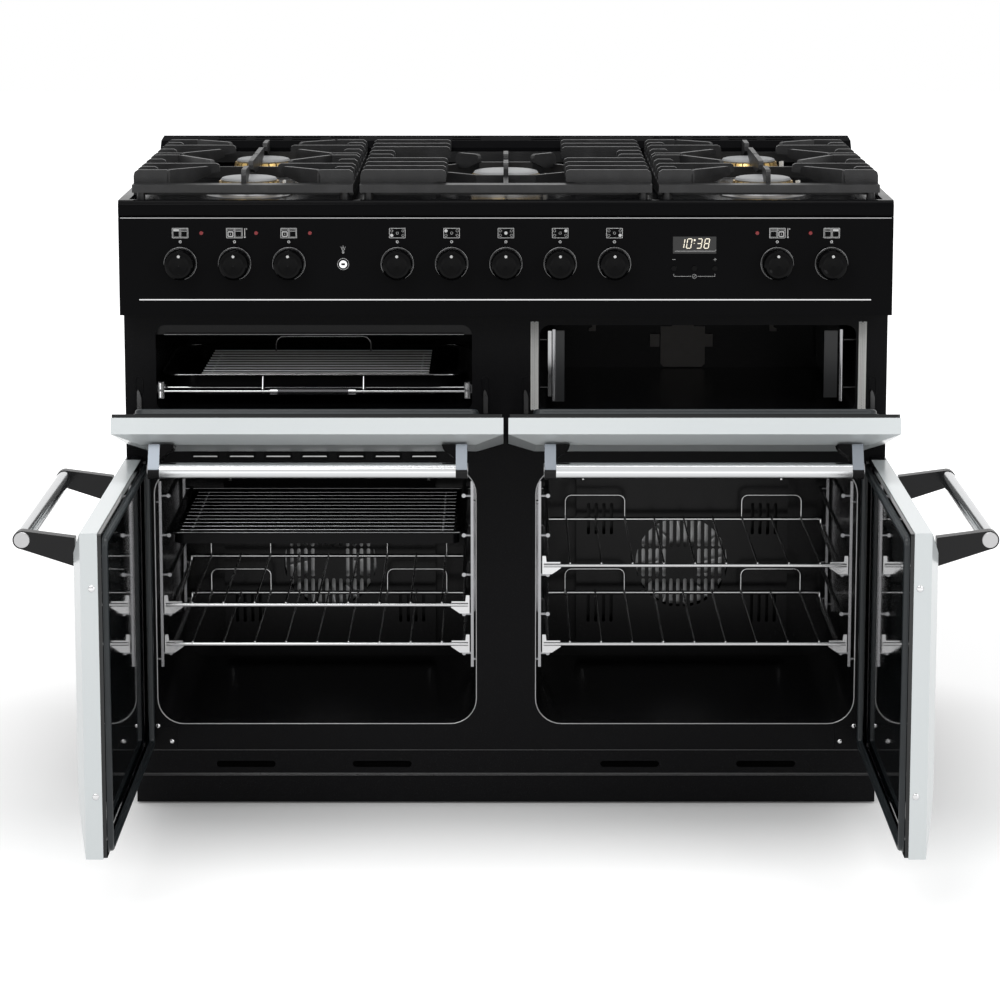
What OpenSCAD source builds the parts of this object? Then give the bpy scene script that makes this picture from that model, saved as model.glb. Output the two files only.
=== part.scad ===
// Dual fuel range cooker, 1092 mm wide, shown with its four doors open.
// Frame: X to the right, Y to the back, Z up, origin on the floor under the middle of the cabinet.

/* [Cabinet] */
// Width of the cabinet and the hob
body_w = 1092; // [1060:2:1160]
// Depth from the control panel's face to the back
body_d = 600; // [580:2:660]
// Height of the hob's rim above the floor
hob_z = 893; // [885:1:930]
// Height of the control panel's lower edge
panel_z0 = 730; // [728:1:740]
// Height of the hob's front nose
nose_h = 24; // [18:1:30]
// Thickness of the cabinet's sheet steel
sheet = 2; // [1.5:0.1:3]
// Thickness of the front frame's plate
frame_t = 3; // [2.5:0.1:4]
// How far the front frame stands behind the panel's face
frame_set = 50; // [49:0.5:60]
// Height of the plinth's upper edge
plinth_z1 = 82; // [76:1:82]
// Ground clearance of the plinth
plinth_z0 = 3; // [2:0.5:12]
// How far the plinth stands behind the front frame's face
plinth_set = 4; // [3:0.5:12]
// Distance of an outer plinth slot's middle from the cabinet's side
slot_edge = 166; // [120:1:200]
// Distance between the two plinth slots of a side
slot_pitch = 199; // [160:1:220]
// Distance of the gas and mains inlets from the cabinet's side
inlet_edge = 166; // [120:1:200]

/* [Oven cavities] */
// Width of the post between the two main ovens
post_w = 86; // [80:2:110]
// Room between a main oven and the cabinet's side
side_w = 39; // [36:1:50]
// Floor level of the main ovens
oven_z0 = 122; // [118:1:130]
// Roof level of the main ovens
oven_z1 = 501; // [490:1:502]
// Corner radius of the main ovens
oven_r = 38; // [20:1:50]
// How much narrower than a main oven the cavity above it is on each side
upper_step = 5.5; // [4:0.5:7]
// Floor level of the upper cavities
upper_z0 = 583; // [580:1:588]
// Roof level of the upper cavities
upper_z1 = 709; // [700:1:711]
// Corner radius of the upper cavities
upper_r = 15; // [8:1:30]
// Depth of all cavities behind the front frame
cavity_d = 414; // [400:2:440]
// Thickness of the cavities' enamelled steel
liner_t = 2; // [1.5:0.1:3]

/* [Doors] */
// Gap between a left and a right door
door_gap = 7; // [4:0.5:12]
// Gap between a closed door and the cabinet's side line
side_inset = 2; // [1:0.5:4]
// Lower edge of the main doors
door_z0 = 87; // [87:0.5:90]
// Upper edge of the main doors
door_z1 = 519; // [517:0.5:521]
// Lower edge of the flap doors
flap_z0 = 531; // [531:0.5:534]
// Upper edge of the flap doors
flap_z1 = 725; // [722:0.5:726]
// Thickness of a door's steel front from its face to its rim's back
door_t = 34.6; // [33:0.2:36]
// How far the face bulges in front of the rim
bulge = 12; // [8:0.5:14]
// Width of the bevel round a main door's face
door_bevel = 32; // [20:1:45]
// Height of the long curve at a main door's foot
foot_curve = 95; // [60:1:120]
// Width of the bevel round a flap door's face
flap_bevel = 38; // [24:1:45]
// Thickness of the glass behind each door
glass_t = 5; // [4:0.5:6]
// Width of the door seals
seal_w = 13; // [9:0.5:14]
// Height of the door seals
seal_h = 8; // [6:0.5:9]
// Opening angle of the main doors as shown
door_open = 90; // [0:1:100]
// Opening angle of the flap doors as shown
flap_open = 76; // [70:1:76]

/* [Handles] */
// Distance of a handle's arms from the door's edges
arm_inset = 57.8; // [50:0.2:80]
// Diameter of a handle's bar
bar_d = 22; // [18:0.5:24]
// Distance of a main door's bar from the door's face
door_reach = 68.8; // [60:0.2:75]
// Distance of a flap door's bar from the door's face
flap_reach = 36.4; // [33:0.2:37]
// Thickness of a handle's arms
arm_t = 16; // [12:1:20]
// Height of a bar above its arms' roots
bar_rise = 17; // [8:1:22]

/* [Controls] */
// Distance of the outermost knobs' axes from the panel's ends
knob_edge = 87; // [78:1:110]
// Height of the row of controls
knob_z = 804; // [798:1:808]
// Diameter of a knob
knob_d = 47; // [40:1:50]
// How far a knob stands in front of the panel
knob_h = 30; // [22:1:34]
// Diameter of the spindles behind the knobs
spindle_d = 6; // [5:0.5:8]
// Thickness of the control panel
panel_t = 2; // [1.5:0.1:3]
// Diameter of the clock's buttons
clock_btn_d = 7.5; // [6:0.5:9]
// Diameter of the oven light's button
light_btn_d = 11; // [9:0.5:13]
// Travel of the buttons
btn_travel = 1.5; // [1:0.1:2]

/* [Shelves and racks] */
// Level of the lowest rung
rung_z = 222; // [215:0.5:226]
// Distance between the rungs
rung_pitch = 58.5; // [56:0.5:60]
// Diameter of the rungs
rung_d = 6; // [5:0.5:7]
// Room between a shelf and the fan cover behind it
shelf_gap = 31; // [24:1:50]
// Diameter of a shelf's front and rear bars
bar_wire = 6; // [5:0.5:7]
// Diameter of a shelf's thin wires
thin_wire = 3; // [2.5:0.5:4]
// Distance of a shelf's outermost thin wires from its runners
wire_edge = 32.4; // [26:0.2:40]
// Height of the two loops behind a shelf that keep dishes off the rear wall
loop_h = 38; // [30:1:46]
// Depth of the baking tin below its rim
tin_h = 16; // [10:1:20]

/* [Grill] */
// Room on both sides of the grill pan together
pan_room = 9; // [8:1:40]
// Depth of the grill pan from front to back
pan_d = 300; // [270:5:320]
// Height of the grill pan
pan_h = 34; // [26:1:36]
// Level of the grill pan's rim
pan_rim_z = 634; // [630:1:640]
// Diameter of the wire that the spring grip is wound from
coil_wire = 1.6; // [1.2:0.1:1.8]
// Distance between the turns of the spring grip
coil_pitch = 2.8; // [2.6:0.1:3.4]
// Outer diameter of the spring grip
coil_d = 12; // [10:0.5:14]
// Number of turns of the spring grip
coil_turns = 36; // [20:1:40]

/* [Hob] */
// Height of the pan supports above the hob
support_rise = 39; // [35:1:43]
// Drop from the top of a pan support to the flat ledge along its front
ledge_drop = 19; // [17:0.5:21]
// Depth of that ledge
ledge_d = 28; // [20:1:34]
// Width of a side pan support
side_support_w = 312; // [300:1:316]
// Distance of a side pan support from the hob's end
support_edge = 18; // [17:0.5:24]
// Gap between neighbouring pan supports
support_gap = 9.5; // [6:0.5:14]
// Distance of the front burners behind the panel's face
front_burner_y = 145; // [140:1:152]
// Distance of the rear burners from the rear panel
rear_burner_gap = 160; // [150:1:170]
// Distance of the centre burner behind the panel's face
wok_burner_y = 245; // [235:1:260]
// Diameter of a side burner's cap
cap_d = 80; // [70:1:86]
// Diameter of the centre burner's cap
wok_cap_d = 94; // [88:1:104]
// Height of the flue strip above the hob's rim
flue_h = 40; // [34:1:44]

/* [Fans] */
// Height of the fans' axes
fan_z = 278; // [276:1:280]
// Diameter of a fan
fan_d = 150; // [130:2:150]
// Width of a fan cover
cover_w = 330; // [300:2:360]
// Height of a fan cover
cover_h = 290; // [270:2:296]
// Depth of a fan cover
cover_d = 28; // [26:1:34]

/* [Hidden] */
$fn = 48;
// Clearance of every running fit
run = 0.3;
half_w = body_w / 2;
oven_w = (body_w - post_w) / 2 - side_w;
cavity_x = (post_w + oven_w) / 2;
upper_w = oven_w - 2 * upper_step;
front = -body_d / 2;
back = body_d / 2;
frame_y = front + frame_set;
liner_y0 = frame_y + frame_t;
liner_y1 = liner_y0 + cavity_d;
panel_z1 = hob_z - nose_h;
plinth_y = frame_y + plinth_set;
// Main doors: hinge axis, rim and glass planes
door_x0 = half_w - side_inset;
pin_x = door_x0 - 12.8;
pin_y = front + 26;
pin_d = 7;
rim_y = front + bulge;
door_back = front + door_t;
arm_plate = 3.6;
// Flap doors: hinge axis and the places of their two hinge arms
flap_axis_y = front + 16;
flap_axis_z = flap_z0 + 17;
flap_arm_x = [29, half_w - 22];
flap_arm_t = 4;
flap_pin_d = 5;
flap_eye = 5.5;
// Handles
arm_x = [door_gap / 2 + arm_inset, door_x0 - arm_inset];
door_bar_z = door_z1 - 19;
flap_bar_z = flap_axis_z + 150;
// Knobs, counted in steps from the middle
knob_pitch = (body_w - 2 * knob_edge) / 12;
gas_steps = [-2, -1, 0, 1, 2];
electric_steps = [-6, -5, -4, 5, 6];
lamp_x = knob_pitch * [-5.61, -4.6, -3.61, 4.63, 5.61];
lamp_z = knob_z + 43;
lamp_d = 5;
clock_x = 3.477 * knob_pitch;
clock_z = 830;
clock_w = 61;
clock_h = 24;
clock_btn_z = 797;
clock_btn_x = [clock_x - 29, clock_x, clock_x + 29];
light_x = -3 * knob_pitch;
light_z = knob_z - 1;
// Shelves
rung_x = oven_w / 2 - 18;
wire_pitch = (rung_x - wire_edge) / 4;
shelf_y0 = liner_y0 + 15;
shelf_d = liner_y1 - cover_d - shelf_gap - shelf_y0;
rack_y0 = liner_y0 + 22;
rack_y1 = liner_y1 - 34;
pan_w = upper_w - pan_room;
rail_z = rung_d / 2 + bar_wire / 2 + run;
bar_up = 8.7;
tin_level = 3;
// Hob
support_y0 = front + 20;
support_y1 = back - 62;
support_foot_z = hob_z - 4;
support_z = hob_z + support_rise;
ledge_z = support_z - ledge_drop;
rear_burner_y = body_d - rear_burner_gap;
side_support_x = half_w - support_edge - side_support_w / 2;
burner_x = side_support_x;
centre_w = body_w - 2 * (support_edge + side_support_w + support_gap);
fin_t = 7;
tray_z = hob_z - 7;
flue_y = back - 60;

// A rectangle with round corners, centred
module round_rect(w, h, r) {
    square([w - 2 * r, h], center = true);
    square([w, h - 2 * r], center = true);
    for (sx = [-1, 1]) {
        for (sz = [-1, 1]) {
            translate([sx * (w / 2 - r), sz * (h / 2 - r)]) circle(r);
        }
    }
}

// Children drawn in X and Z, from y0 back to y1
module along_y(y0, y1) {
    translate([0, y1, 0]) rotate([90, 0, 0]) linear_extrude(y1 - y0) children();
}

// Children drawn in Y and Z, from x0 to x1
module along_x(x0, x1) {
    translate([x0, 0, 0]) rotate([90, 0, 90]) linear_extrude(x1 - x0) children();
}

module rod_x(x0, x1, y, z, d) {
    translate([x0, y, z]) rotate([0, 90, 0]) cylinder(d = d, h = x1 - x0, $fn = 24);
}

module rod_y(x, y0, y1, z, d) {
    translate([x, y1, z]) rotate([90, 0, 0]) cylinder(d = d, h = y1 - y0, $fn = 24);
}

module rod_z(x, y, z0, z1, d) {
    translate([x, y, z0]) cylinder(d = d, h = z1 - z0, $fn = 24);
}

module box(x0, x1, y0, y1, z0, z1) {
    translate([x0, y0, z0]) cube([x1 - x0, y1 - y0, z1 - z0]);
}

module both_sides() {
    children();
    mirror([1, 0, 0]) children();
}

// An arch of wire standing in X and Z, with round shoulders
module wire_arch(x0, x1, y, z0, z1, r, d) {
    rod_z(x0, y, z0, z1 - r, d);
    rod_z(x1, y, z0, z1 - r, d);
    rod_x(x0 + r, x1 - r, y, z1, d);
    translate([x0 + r, y, z1 - r]) rotate([90, 0, 0]) rotate([0, 0, 90])
        rotate_extrude(angle = 90, $fn = 32) translate([r, 0]) circle(d = d, $fn = 24);
    translate([x1 - r, y, z1 - r]) rotate([90, 0, 0])
        rotate_extrude(angle = 90, $fn = 32) translate([r, 0]) circle(d = d, $fn = 24);
}

// Cabinet

module cabinet_shell() {
    color([0.09, 0.09, 0.1]) {
        both_sides() box(half_w - sheet, half_w, liner_y0, back - sheet, plinth_z1, panel_z1);
        box(-half_w + sheet, half_w - sheet, liner_y0, back - sheet, plinth_z1, plinth_z1 + sheet);
    }
}

module rear_panel() {
    inlet_x = half_w - inlet_edge;
    color([0.5, 0.5, 0.52]) difference() {
        box(-half_w, half_w, back - sheet, back, plinth_z1, panel_z1);
        for (i = [-6:6]) {
            for (row = [0, 1]) {
                translate([i * 70, 0, panel_z1 - 60 - row * 16])
                    along_y(back - sheet - 1, back + 1) round_rect(50, 6, 2.9);
            }
        }
        translate([inlet_x, 0, 160]) along_y(back - sheet - 1, back + 1) circle(11);
        translate([-inlet_x, 0, 160]) along_y(back - sheet - 1, back + 1) circle(12);
    }
    // Threaded gas inlet and the gland of the mains inlet
    color([0.75, 0.6, 0.3]) translate([-inlet_x, 0, 160]) along_y(back - 30, back) difference() {
        circle(12 - run);
        circle(6.5);
    }
    color([0.1, 0.1, 0.1]) translate([inlet_x, 0, 160]) along_y(back - 24, back) difference() {
        circle(11 - run);
        circle(6);
    }
}

module plinth() {
    slot_x = [half_w - slot_edge - slot_pitch, half_w - slot_edge];
    slot_z = 60;
    fold_z = 43;
    color([0.07, 0.07, 0.07]) difference() {
        union() {
            box(-half_w + 6, half_w - 6, plinth_y, plinth_y + sheet, plinth_z0, plinth_z1);
            box(-half_w + 6, half_w - 6, plinth_y + sheet, plinth_y + 20, plinth_z1 - sheet, plinth_z1);
            both_sides() box(half_w - 6 - sheet, half_w - 6, plinth_y + sheet, plinth_y + 40,
                plinth_z0, plinth_z1);
        }
        both_sides() for (x = slot_x) {
            translate([x, 0, slot_z]) along_y(plinth_y - 1, plinth_y + sheet + 1) round_rect(86, 9.4, 4.6);
        }
        along_x(-half_w, half_w) translate([plinth_y, fold_z]) circle(0.9, $fn = 24);
    }
}

module levelling_feet() {
    color([0.3, 0.3, 0.32]) both_sides() for (y = [front + 110, back - 50]) {
        rod_z(half_w - 66, y, 12, plinth_z1, 10);
        translate([half_w - 66, y, 0]) rotate_extrude()
            polygon([[0, 0], [20, 0], [20, 5], [12, 10], [12, 14], [0, 14]]);
        translate([half_w - 66, y, 24]) cylinder(d = 20, h = 6, $fn = 6);
    }
}

module front_frame() {
    color([0.07, 0.07, 0.07]) difference() {
        box(-half_w, half_w, frame_y, liner_y0, plinth_z1 + sheet, panel_z1);
        both_sides() {
            translate([cavity_x, 0, (oven_z0 + oven_z1) / 2]) along_y(frame_y - 1, liner_y0 + 1)
                round_rect(oven_w, oven_z1 - oven_z0, oven_r);
            translate([cavity_x, 0, (upper_z0 + upper_z1) / 2]) along_y(frame_y - 1, liner_y0 + 1)
                round_rect(upper_w, upper_z1 - upper_z0, upper_r);
            // Windows for the flush plates of the main doors' hinges
            hinge_plate(run, 1);
        }
        // Room for the controls behind the panel
        box(-half_w + 30, half_w - 30, frame_y - 1, liner_y0 + 1, panel_z0 + 20, panel_z1 - 20);
    }
}

// The two flush plates that carry a main door, grown by a clearance
module hinge_plate(grow, through) {
    box(half_w - 66 - grow, half_w - 4 + grow, frame_y - through * grow, liner_y0 + through * grow,
        plinth_z1 + 0.7 - through, oven_z0 - 4 + grow);
    box(pin_x - 16 - grow, pin_x + 11 + grow, frame_y - through * grow, liner_y0 + through * grow,
        door_z1 - 20 - grow, flap_z0 - 3 + grow);
}

// Arms, pins and flush plates of all hinges
module hinge_brackets() {
    low_arm = [door_z0 - 0.5 - arm_plate, door_z0 - 0.5];
    high_arm = [door_z1 - 5 + 0.3, door_z1 - 5 + 0.3 + arm_plate];
    color([0.12, 0.12, 0.12]) both_sides() {
        hinge_plate(0, 0);
        for (z = [low_arm, high_arm]) {
            box(pin_x - 7, pin_x + 7, pin_y, frame_y, z[0], z[1]);
            rod_z(pin_x, pin_y, z[0], z[1], 14);
        }
        rod_z(pin_x, pin_y, low_arm[0], door_z0 + 16, pin_d);
        rod_z(pin_x, pin_y, door_z1 - 21, high_arm[1], pin_d);
        for (x = flap_arm_x) {
            along_x(x - flap_arm_t / 2, x + flap_arm_t / 2) {
                translate([flap_axis_y, flap_axis_z]) circle(flap_eye);
                translate([flap_axis_y, flap_axis_z - flap_eye])
                    square([frame_y - flap_axis_y, 2 * flap_eye]);
            }
            rod_x(x - 9, x + 9, flap_axis_y, flap_axis_z, flap_pin_d);
        }
    }
}

// Cavities

module chamber(w, z0, z1, r) {
    difference() {
        along_y(liner_y0, liner_y1 + liner_t) round_rect(w + 2 * liner_t, z1 - z0 + 2 * liner_t, r + liner_t);
        along_y(liner_y0 - 1, liner_y1) round_rect(w, z1 - z0, r);
        children();
    }
}

module oven_chamber(x) {
    mid_z = (oven_z0 + oven_z1) / 2;
    color([0.06, 0.06, 0.07]) translate([x, 0, mid_z]) chamber(oven_w, oven_z0, oven_z1, oven_r) {
        translate([0, 0, fan_z - mid_z]) along_y(liner_y1 - 1, liner_y1 + liner_t + 1) circle(9);
    }
}

module grill_chamber() {
    color([0.06, 0.06, 0.07]) {
        translate([-cavity_x, 0, (upper_z0 + upper_z1) / 2]) chamber(upper_w, upper_z0, upper_z1, upper_r);
        // Strip that hides the grill element from the front
        box(-cavity_x - upper_w / 2 - 1, -cavity_x + upper_w / 2 + 1, liner_y0 + 14, liner_y0 + 16,
            upper_z1 - 16, upper_z1 + 1);
    }
}

module slow_oven_chamber() {
    mid_z = (upper_z0 + upper_z1) / 2;
    color([0.06, 0.06, 0.07]) {
        translate([cavity_x, 0, mid_z]) chamber(upper_w, upper_z0, upper_z1, upper_r);
        // Plate with side tabs that covers the middle of the rear wall
        translate([cavity_x, 0, mid_z + 12]) along_y(liner_y1 - 4, liner_y1) {
            round_rect(66, 64, 4);
            square([92, 18], center = true);
        }
    }
}
module left_oven_chamber() { oven_chamber(-cavity_x); }
module right_oven_chamber() { oven_chamber(cavity_x); }

// One ladder rack on the outer side of an oven, drawn round the oven's middle
module ladder_rack() {
    post_x = rung_x + 12;
    wall_x = oven_w / 2;
    for (y = [rack_y0, rack_y1]) {
        box(post_x - 2, post_x + 2, y - 4, y + 4, rung_z - 20, rung_z + 4 * rung_pitch + 22);
        for (z = [rung_z - 9, rung_z + 4 * rung_pitch - 9]) {
            rod_x(post_x, wall_x, y, z, 5);
        }
    }
    for (i = [0:4]) {
        z = rung_z + i * rung_pitch;
        rod_y(rung_x, rack_y0 - rung_d / 2, rack_y1 + rung_d / 2, z, rung_d);
        for (y = [rack_y0, rack_y1]) {
            rod_x(rung_x, post_x, y, z, rung_d - 0.6);
        }
    }
}

// Sheet side rack of the slow oven, with a round front edge
module slow_rack() {
    x = upper_w / 2 - 20;
    y0 = liner_y0 + 12;
    y1 = liner_y1 - 30;
    box(x - 1, x + 1, y0, y1, upper_z0 + 14, upper_z1 - 8);
    rod_z(x, y0, upper_z0 + 14, upper_z1 - 8, 7);
    for (y = [y0 + 20, y1 - 20]) {
        for (z = [upper_z0 + 30, upper_z1 - 26]) {
            rod_x(x, upper_w / 2, y, z, 5);
        }
    }
}

// Slide channel of the grill pan with its wheel blocks
module grill_runner() {
    x = upper_w / 2;
    lip = cradle_z - cradle_wire / 2 - run;
    top = cradle_z + cradle_wire / 2 + 3;
    along_y(liner_y0 + 16, liner_y1 - 60) polygon([[x, lip - 2], [x - 12, lip - 2], [x - 12, lip],
        [x - 2, lip], [x - 2, top], [x - 12, top], [x - 12, top + 2], [x, top + 2]]);
}

module side_racks() {
    color([0.75, 0.75, 0.77]) {
        for (side = [-1, 1]) {
            translate([side * cavity_x, 0, 0]) both_sides() ladder_rack();
        }
        translate([cavity_x, 0, 0]) both_sides() slow_rack();
        translate([-cavity_x, 0, 0]) both_sides() grill_runner();
    }
}

// Fans

// Rows of upright slots inside a circle, with a plain hub
module fan_slots() {
    col = 10.9;
    field_r = 72;
    row_h = 45;
    hub = 20;
    intersection() {
        circle(field_r);
        for (i = [-6.5:6.5]) {
            for (row = [-1, 0, 1]) {
                if (row != 0 || abs(i * col) > hub) {
                    translate([i * col, row * (row_h + 3)]) round_rect(5.4, row_h, 2.6);
                }
            }
        }
    }
}

module fan_cover() {
    y0 = liner_y1 - cover_d;
    taper = 8;
    difference() {
        along_y(y0, liner_y1) round_rect(cover_w, cover_h, 10);
        along_y(y0 + 1.5, liner_y1 + 1) round_rect(cover_w - 3, cover_h - 3, 8.5);
        along_y(y0 - 1, y0 + 2) fan_slots();
        for (sx = [-1, 1]) {
            for (i = [0:3]) {
                for (sz = [-1, 1]) {
                    translate([sx * (cover_w / 2 - 55 + i * 12), 0, sz * 70])
                        along_y(y0 - 1, y0 + 2) round_rect(5, 50, 2.4);
                }
            }
        }
    }
}

// Slotted guard across the top of the left oven's rear wall
module roof_guard() {
    guard_w = oven_w - 24;
    guard_h = 25;
    translate([0, 0, oven_z1 - 62]) along_y(liner_y1 - 6, liner_y1) difference() {
        square([guard_w, guard_h], center = true);
        for (i = [-4:4]) {
            for (row = [-1, 1]) {
                translate([i * (guard_w - 26) / 9, row * 5.5]) round_rect((guard_w - 107) / 9, 5, 2.4);
            }
        }
    }
}

module fan_covers() {
    color([0.12, 0.12, 0.13]) {
        for (side = [-1, 1]) {
            translate([side * cavity_x, 0, fan_z]) fan_cover();
        }
        translate([-cavity_x, 0, 0]) roof_guard();
    }
}

// Fan wheel: disc, hub and bent blades
module fan(x) {
    y0 = liner_y1 - 16;
    color([0.7, 0.71, 0.72]) translate([x, 0, fan_z]) difference() {
        union() {
            along_y(y0 + 10, y0 + 11.5) circle(d = fan_d - 6);
            along_y(y0 - 4, y0 + 11.5) circle(9);
            for (i = [0:11]) {
                along_y(y0 - 4, y0 + 10.5) rotate(i * 30) translate([fan_d / 2 - 38, -1]) {
                    rotate(14) square([34, 2]);
                }
            }
        }
        along_y(y0 - 10, y0 + 20) circle(4 + run);
    }
}
module left_fan() { fan(-cavity_x); }
module right_fan() { fan(cavity_x); }

module fan_motors() {
    y0 = liner_y1 + liner_t;
    color([0.45, 0.45, 0.47]) for (side = [-1, 1]) {
        translate([side * cavity_x, 0, fan_z]) {
            along_y(y0, y0 + 4) round_rect(110, 60, 8);
            along_y(y0 + 4, y0 + 46) circle(36);
            along_y(liner_y1 - cover_d + 4, y0 + 1) circle(4);
            along_y(liner_y1 - cover_d + 5, liner_y1 - 20.5) circle(7, $fn = 6);
        }
    }
}

module heating_elements() {
    ring_r = fan_d / 2 + 14;
    ring_y = liner_y1 - 12;
    color([0.35, 0.35, 0.36]) {
        for (side = [-1, 1]) {
            translate([side * cavity_x, ring_y, fan_z]) rotate([90, 0, 0])
                rotate_extrude($fn = 72) translate([ring_r, 0]) circle(d = 7, $fn = 24);
            for (dx = [-12, 12]) {
                rod_y(side * cavity_x + dx, ring_y, liner_y1, fan_z + ring_r, 7);
            }
        }
        // Grill element: three long hairpins under the roof of the grill chamber
        for (i = [-2.5:2.5]) {
            rod_y(-cavity_x + i * 60, liner_y0 + 60, liner_y1, upper_z1 - 18, 7);
        }
        for (i = [-2, 0, 2]) {
            rod_x(-cavity_x + (i - 0.5) * 60, -cavity_x + (i + 0.5) * 60, liner_y0 + 60, upper_z1 - 18, 7);
        }
    }
}

// Shelves and tins

module shelf_end() {
    // Pressed end plate of the front bar, tall by the rack and hooked towards the bar
    along_y(shelf_y0 - 1, shelf_y0 + 1.5) polygon([[rung_x + 8, 14], [rung_x + 3, 14],
        [rung_x + 2, 5], [rung_x - 18, 5], [rung_x - 19, -4], [rung_x - 6, -13], [rung_x + 8, -13]]);
}

module shelf(level) {
    y1 = shelf_y0 + shelf_d;
    top = rung_z + level * rung_pitch + rail_z + bar_up;
    loops = [[-4 * wire_pitch - 1.5, -2 * wire_pitch], [2 * wire_pitch, 4 * wire_pitch + 1.5]];
    translate([0, 0, top]) {
        rod_x(-rung_x - 6, rung_x + 6, shelf_y0, 0, bar_wire);
        rod_x(-rung_x, rung_x, y1, 0, bar_wire);
        both_sides() {
            shelf_end();
            rod_y(rung_x, shelf_y0, y1, -bar_up, bar_wire);
            rod_z(rung_x, y1, -bar_up, 0, bar_wire);
            translate([rung_x, y1, -bar_up]) sphere(d = bar_wire, $fn = 24);
            translate([rung_x, y1, 0]) sphere(d = bar_wire, $fn = 24);
        }
        for (i = [-4:4]) {
            rod_y(i * wire_pitch, shelf_y0 - 2, y1 + 2, 3.6, thin_wire);
            translate([i * wire_pitch, shelf_y0 - 2, 3.6]) sphere(d = thin_wire + 0.8, $fn = 24);
        }
        for (l = loops) {
            wire_arch(l[0], l[1], y1 - 2, 0, loop_h, 10, 3.5);
        }
    }
}

module oven_shelf(x, level) {
    color([0.8, 0.8, 0.82]) translate([x, 0, 0]) shelf(level);
}
module left_shelf_upper() { oven_shelf(-cavity_x, 1); }
module left_shelf_lower() { oven_shelf(-cavity_x, 0); }
module right_shelf_upper() { oven_shelf(cavity_x, 2); }
module right_shelf_lower() { oven_shelf(cavity_x, 0); }

// Enamelled tin on the fourth rung, with its wire trivet inside
module baking_tin() {
    y0 = shelf_y0;
    y1 = y0 + shelf_d;
    mid = (y0 + y1) / 2;
    rim = rung_z + tin_level * rung_pitch + rung_d / 2 + run;
    body_x = rung_x - rung_d / 2 - 4;
    color([0.1, 0.1, 0.11]) translate([-cavity_x, mid, rim]) difference() {
        union() {
            linear_extrude(1.5) round_rect(2 * rung_x + 8, shelf_d, 16);
            translate([0, 0, -tin_h]) linear_extrude(tin_h) round_rect(2 * body_x, shelf_d - 16, 14);
        }
        translate([0, 0, -tin_h + 1.5]) linear_extrude(tin_h + 2) round_rect(2 * body_x - 3, shelf_d - 19, 12.5);
    }
    color([0.8, 0.8, 0.82]) translate([-cavity_x, mid, rim]) {
        for (i = [0:11]) {
            rod_x(-body_x + 8, body_x - 8, -shelf_d / 2 + 26 + i * 26, 0.5, 2.6);
        }
        for (x = [-1, 1]) {
            rod_y(x * (body_x - 24), -shelf_d / 2 + 20, shelf_d / 2 - 20, -1.6, 3.2);
            for (y = [-1, 1]) {
                rod_z(x * (body_x - 24), y * (shelf_d / 2 - 30), -tin_h + 1.5, -1.4, 2.4);
            }
        }
    }
}

// Grill pan, trivet and the wire cradle with its spring grip

grill_x = -cavity_x - 2;
pan_y0 = liner_y0 + 16;
pan_y1 = pan_y0 + pan_d;
pan_step = 15;
cradle_wire = 5;
cradle_z = pan_rim_z - pan_h + pan_step - run - cradle_wire / 2;
cradle_x = upper_w / 2 - 7;
grip_y = pan_y0 - 14;
grip_z = cradle_z;

module grill_pan() {
    mid = (pan_y0 + pan_y1) / 2;
    corner = 58;
    floor_z = pan_rim_z - pan_h;
    color([0.16, 0.16, 0.17]) translate([grill_x, mid, 0]) difference() {
        union() {
            translate([0, 0, pan_rim_z - 2]) linear_extrude(2) round_rect(pan_w, pan_d, corner);
            translate([0, 0, floor_z + pan_step]) linear_extrude(pan_h - pan_step - 1) round_rect(pan_w - 28, pan_d - 24, corner - 12);
            translate([0, 0, floor_z]) linear_extrude(pan_step + 1) round_rect(pan_w - 70, pan_d - 60, corner - 30);
        }
        translate([0, 0, floor_z + pan_step + 1.5]) linear_extrude(pan_h) round_rect(pan_w - 31, pan_d - 27, corner - 13.5);
        translate([0, 0, floor_z + 1.5]) linear_extrude(pan_h) round_rect(pan_w - 73, pan_d - 63, corner - 31.5);
    }
}

module grill_trivet() {
    w = pan_w - 110;
    y0 = pan_y0 + 26;
    y1 = pan_y1 - 26;
    rod = 2.8;
    count = 10;
    step = (y1 - y0) / count;
    z = pan_rim_z - 6;
    color([0.85, 0.85, 0.87]) translate([grill_x, 0, 0]) {
        for (i = [0:count]) {
            rod_x(-w / 2, w / 2, y0 + i * step, z, rod);
        }
        for (x = [-w / 2 + 14, 0, w / 2 - 14]) {
            rod_y(x, y0 - 3, y1 + 3, z - 2.6, 4);
        }
        for (x = [-w / 2 + 14, w / 2 - 14]) {
            for (y = [y0 + 14, y1 - 14]) {
                rod_z(x, y, pan_rim_z - pan_h + 1.5, z - 2.2, 3.2);
            }
        }
        wire_arch(-72, 72, y1, z, z + 22, 12, 3.6);
    }
}

// Points of the spring grip: one open tube with straight ends
coil_len = coil_turns * coil_pitch;
coil_r = (coil_d - coil_wire) / 2;
coil_steps = 8;
coil_sides = 6;
coil_rings = coil_turns * coil_steps;
function coil_angle(i) = 360 * i / coil_steps;
function coil_point(i) = [coil_pitch * i / coil_steps - coil_len / 2,
    coil_r * cos(coil_angle(i)), coil_r * sin(coil_angle(i))];
function coil_tangent(i) = let (a = coil_angle(i), t = [coil_pitch / 360 * 180 / PI,
    -coil_r * sin(a), coil_r * cos(a)]) t / norm(t);
function coil_ring(i) = let (a = coil_angle(i), n = [0, cos(a), sin(a)], b = cross(coil_tangent(i), n))
    [for (k = [0:coil_sides - 1]) coil_point(i)
        + coil_wire / 2 * (n * cos(360 * k / coil_sides) + b * sin(360 * k / coil_sides))];
echo(least_gap_of_the_spring_grip = min([for (i = [0:coil_steps]) let (d = coil_point(i) - coil_point(0))
    i < coil_steps / 2 ? coil_pitch : norm(d)]) - coil_wire);

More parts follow.
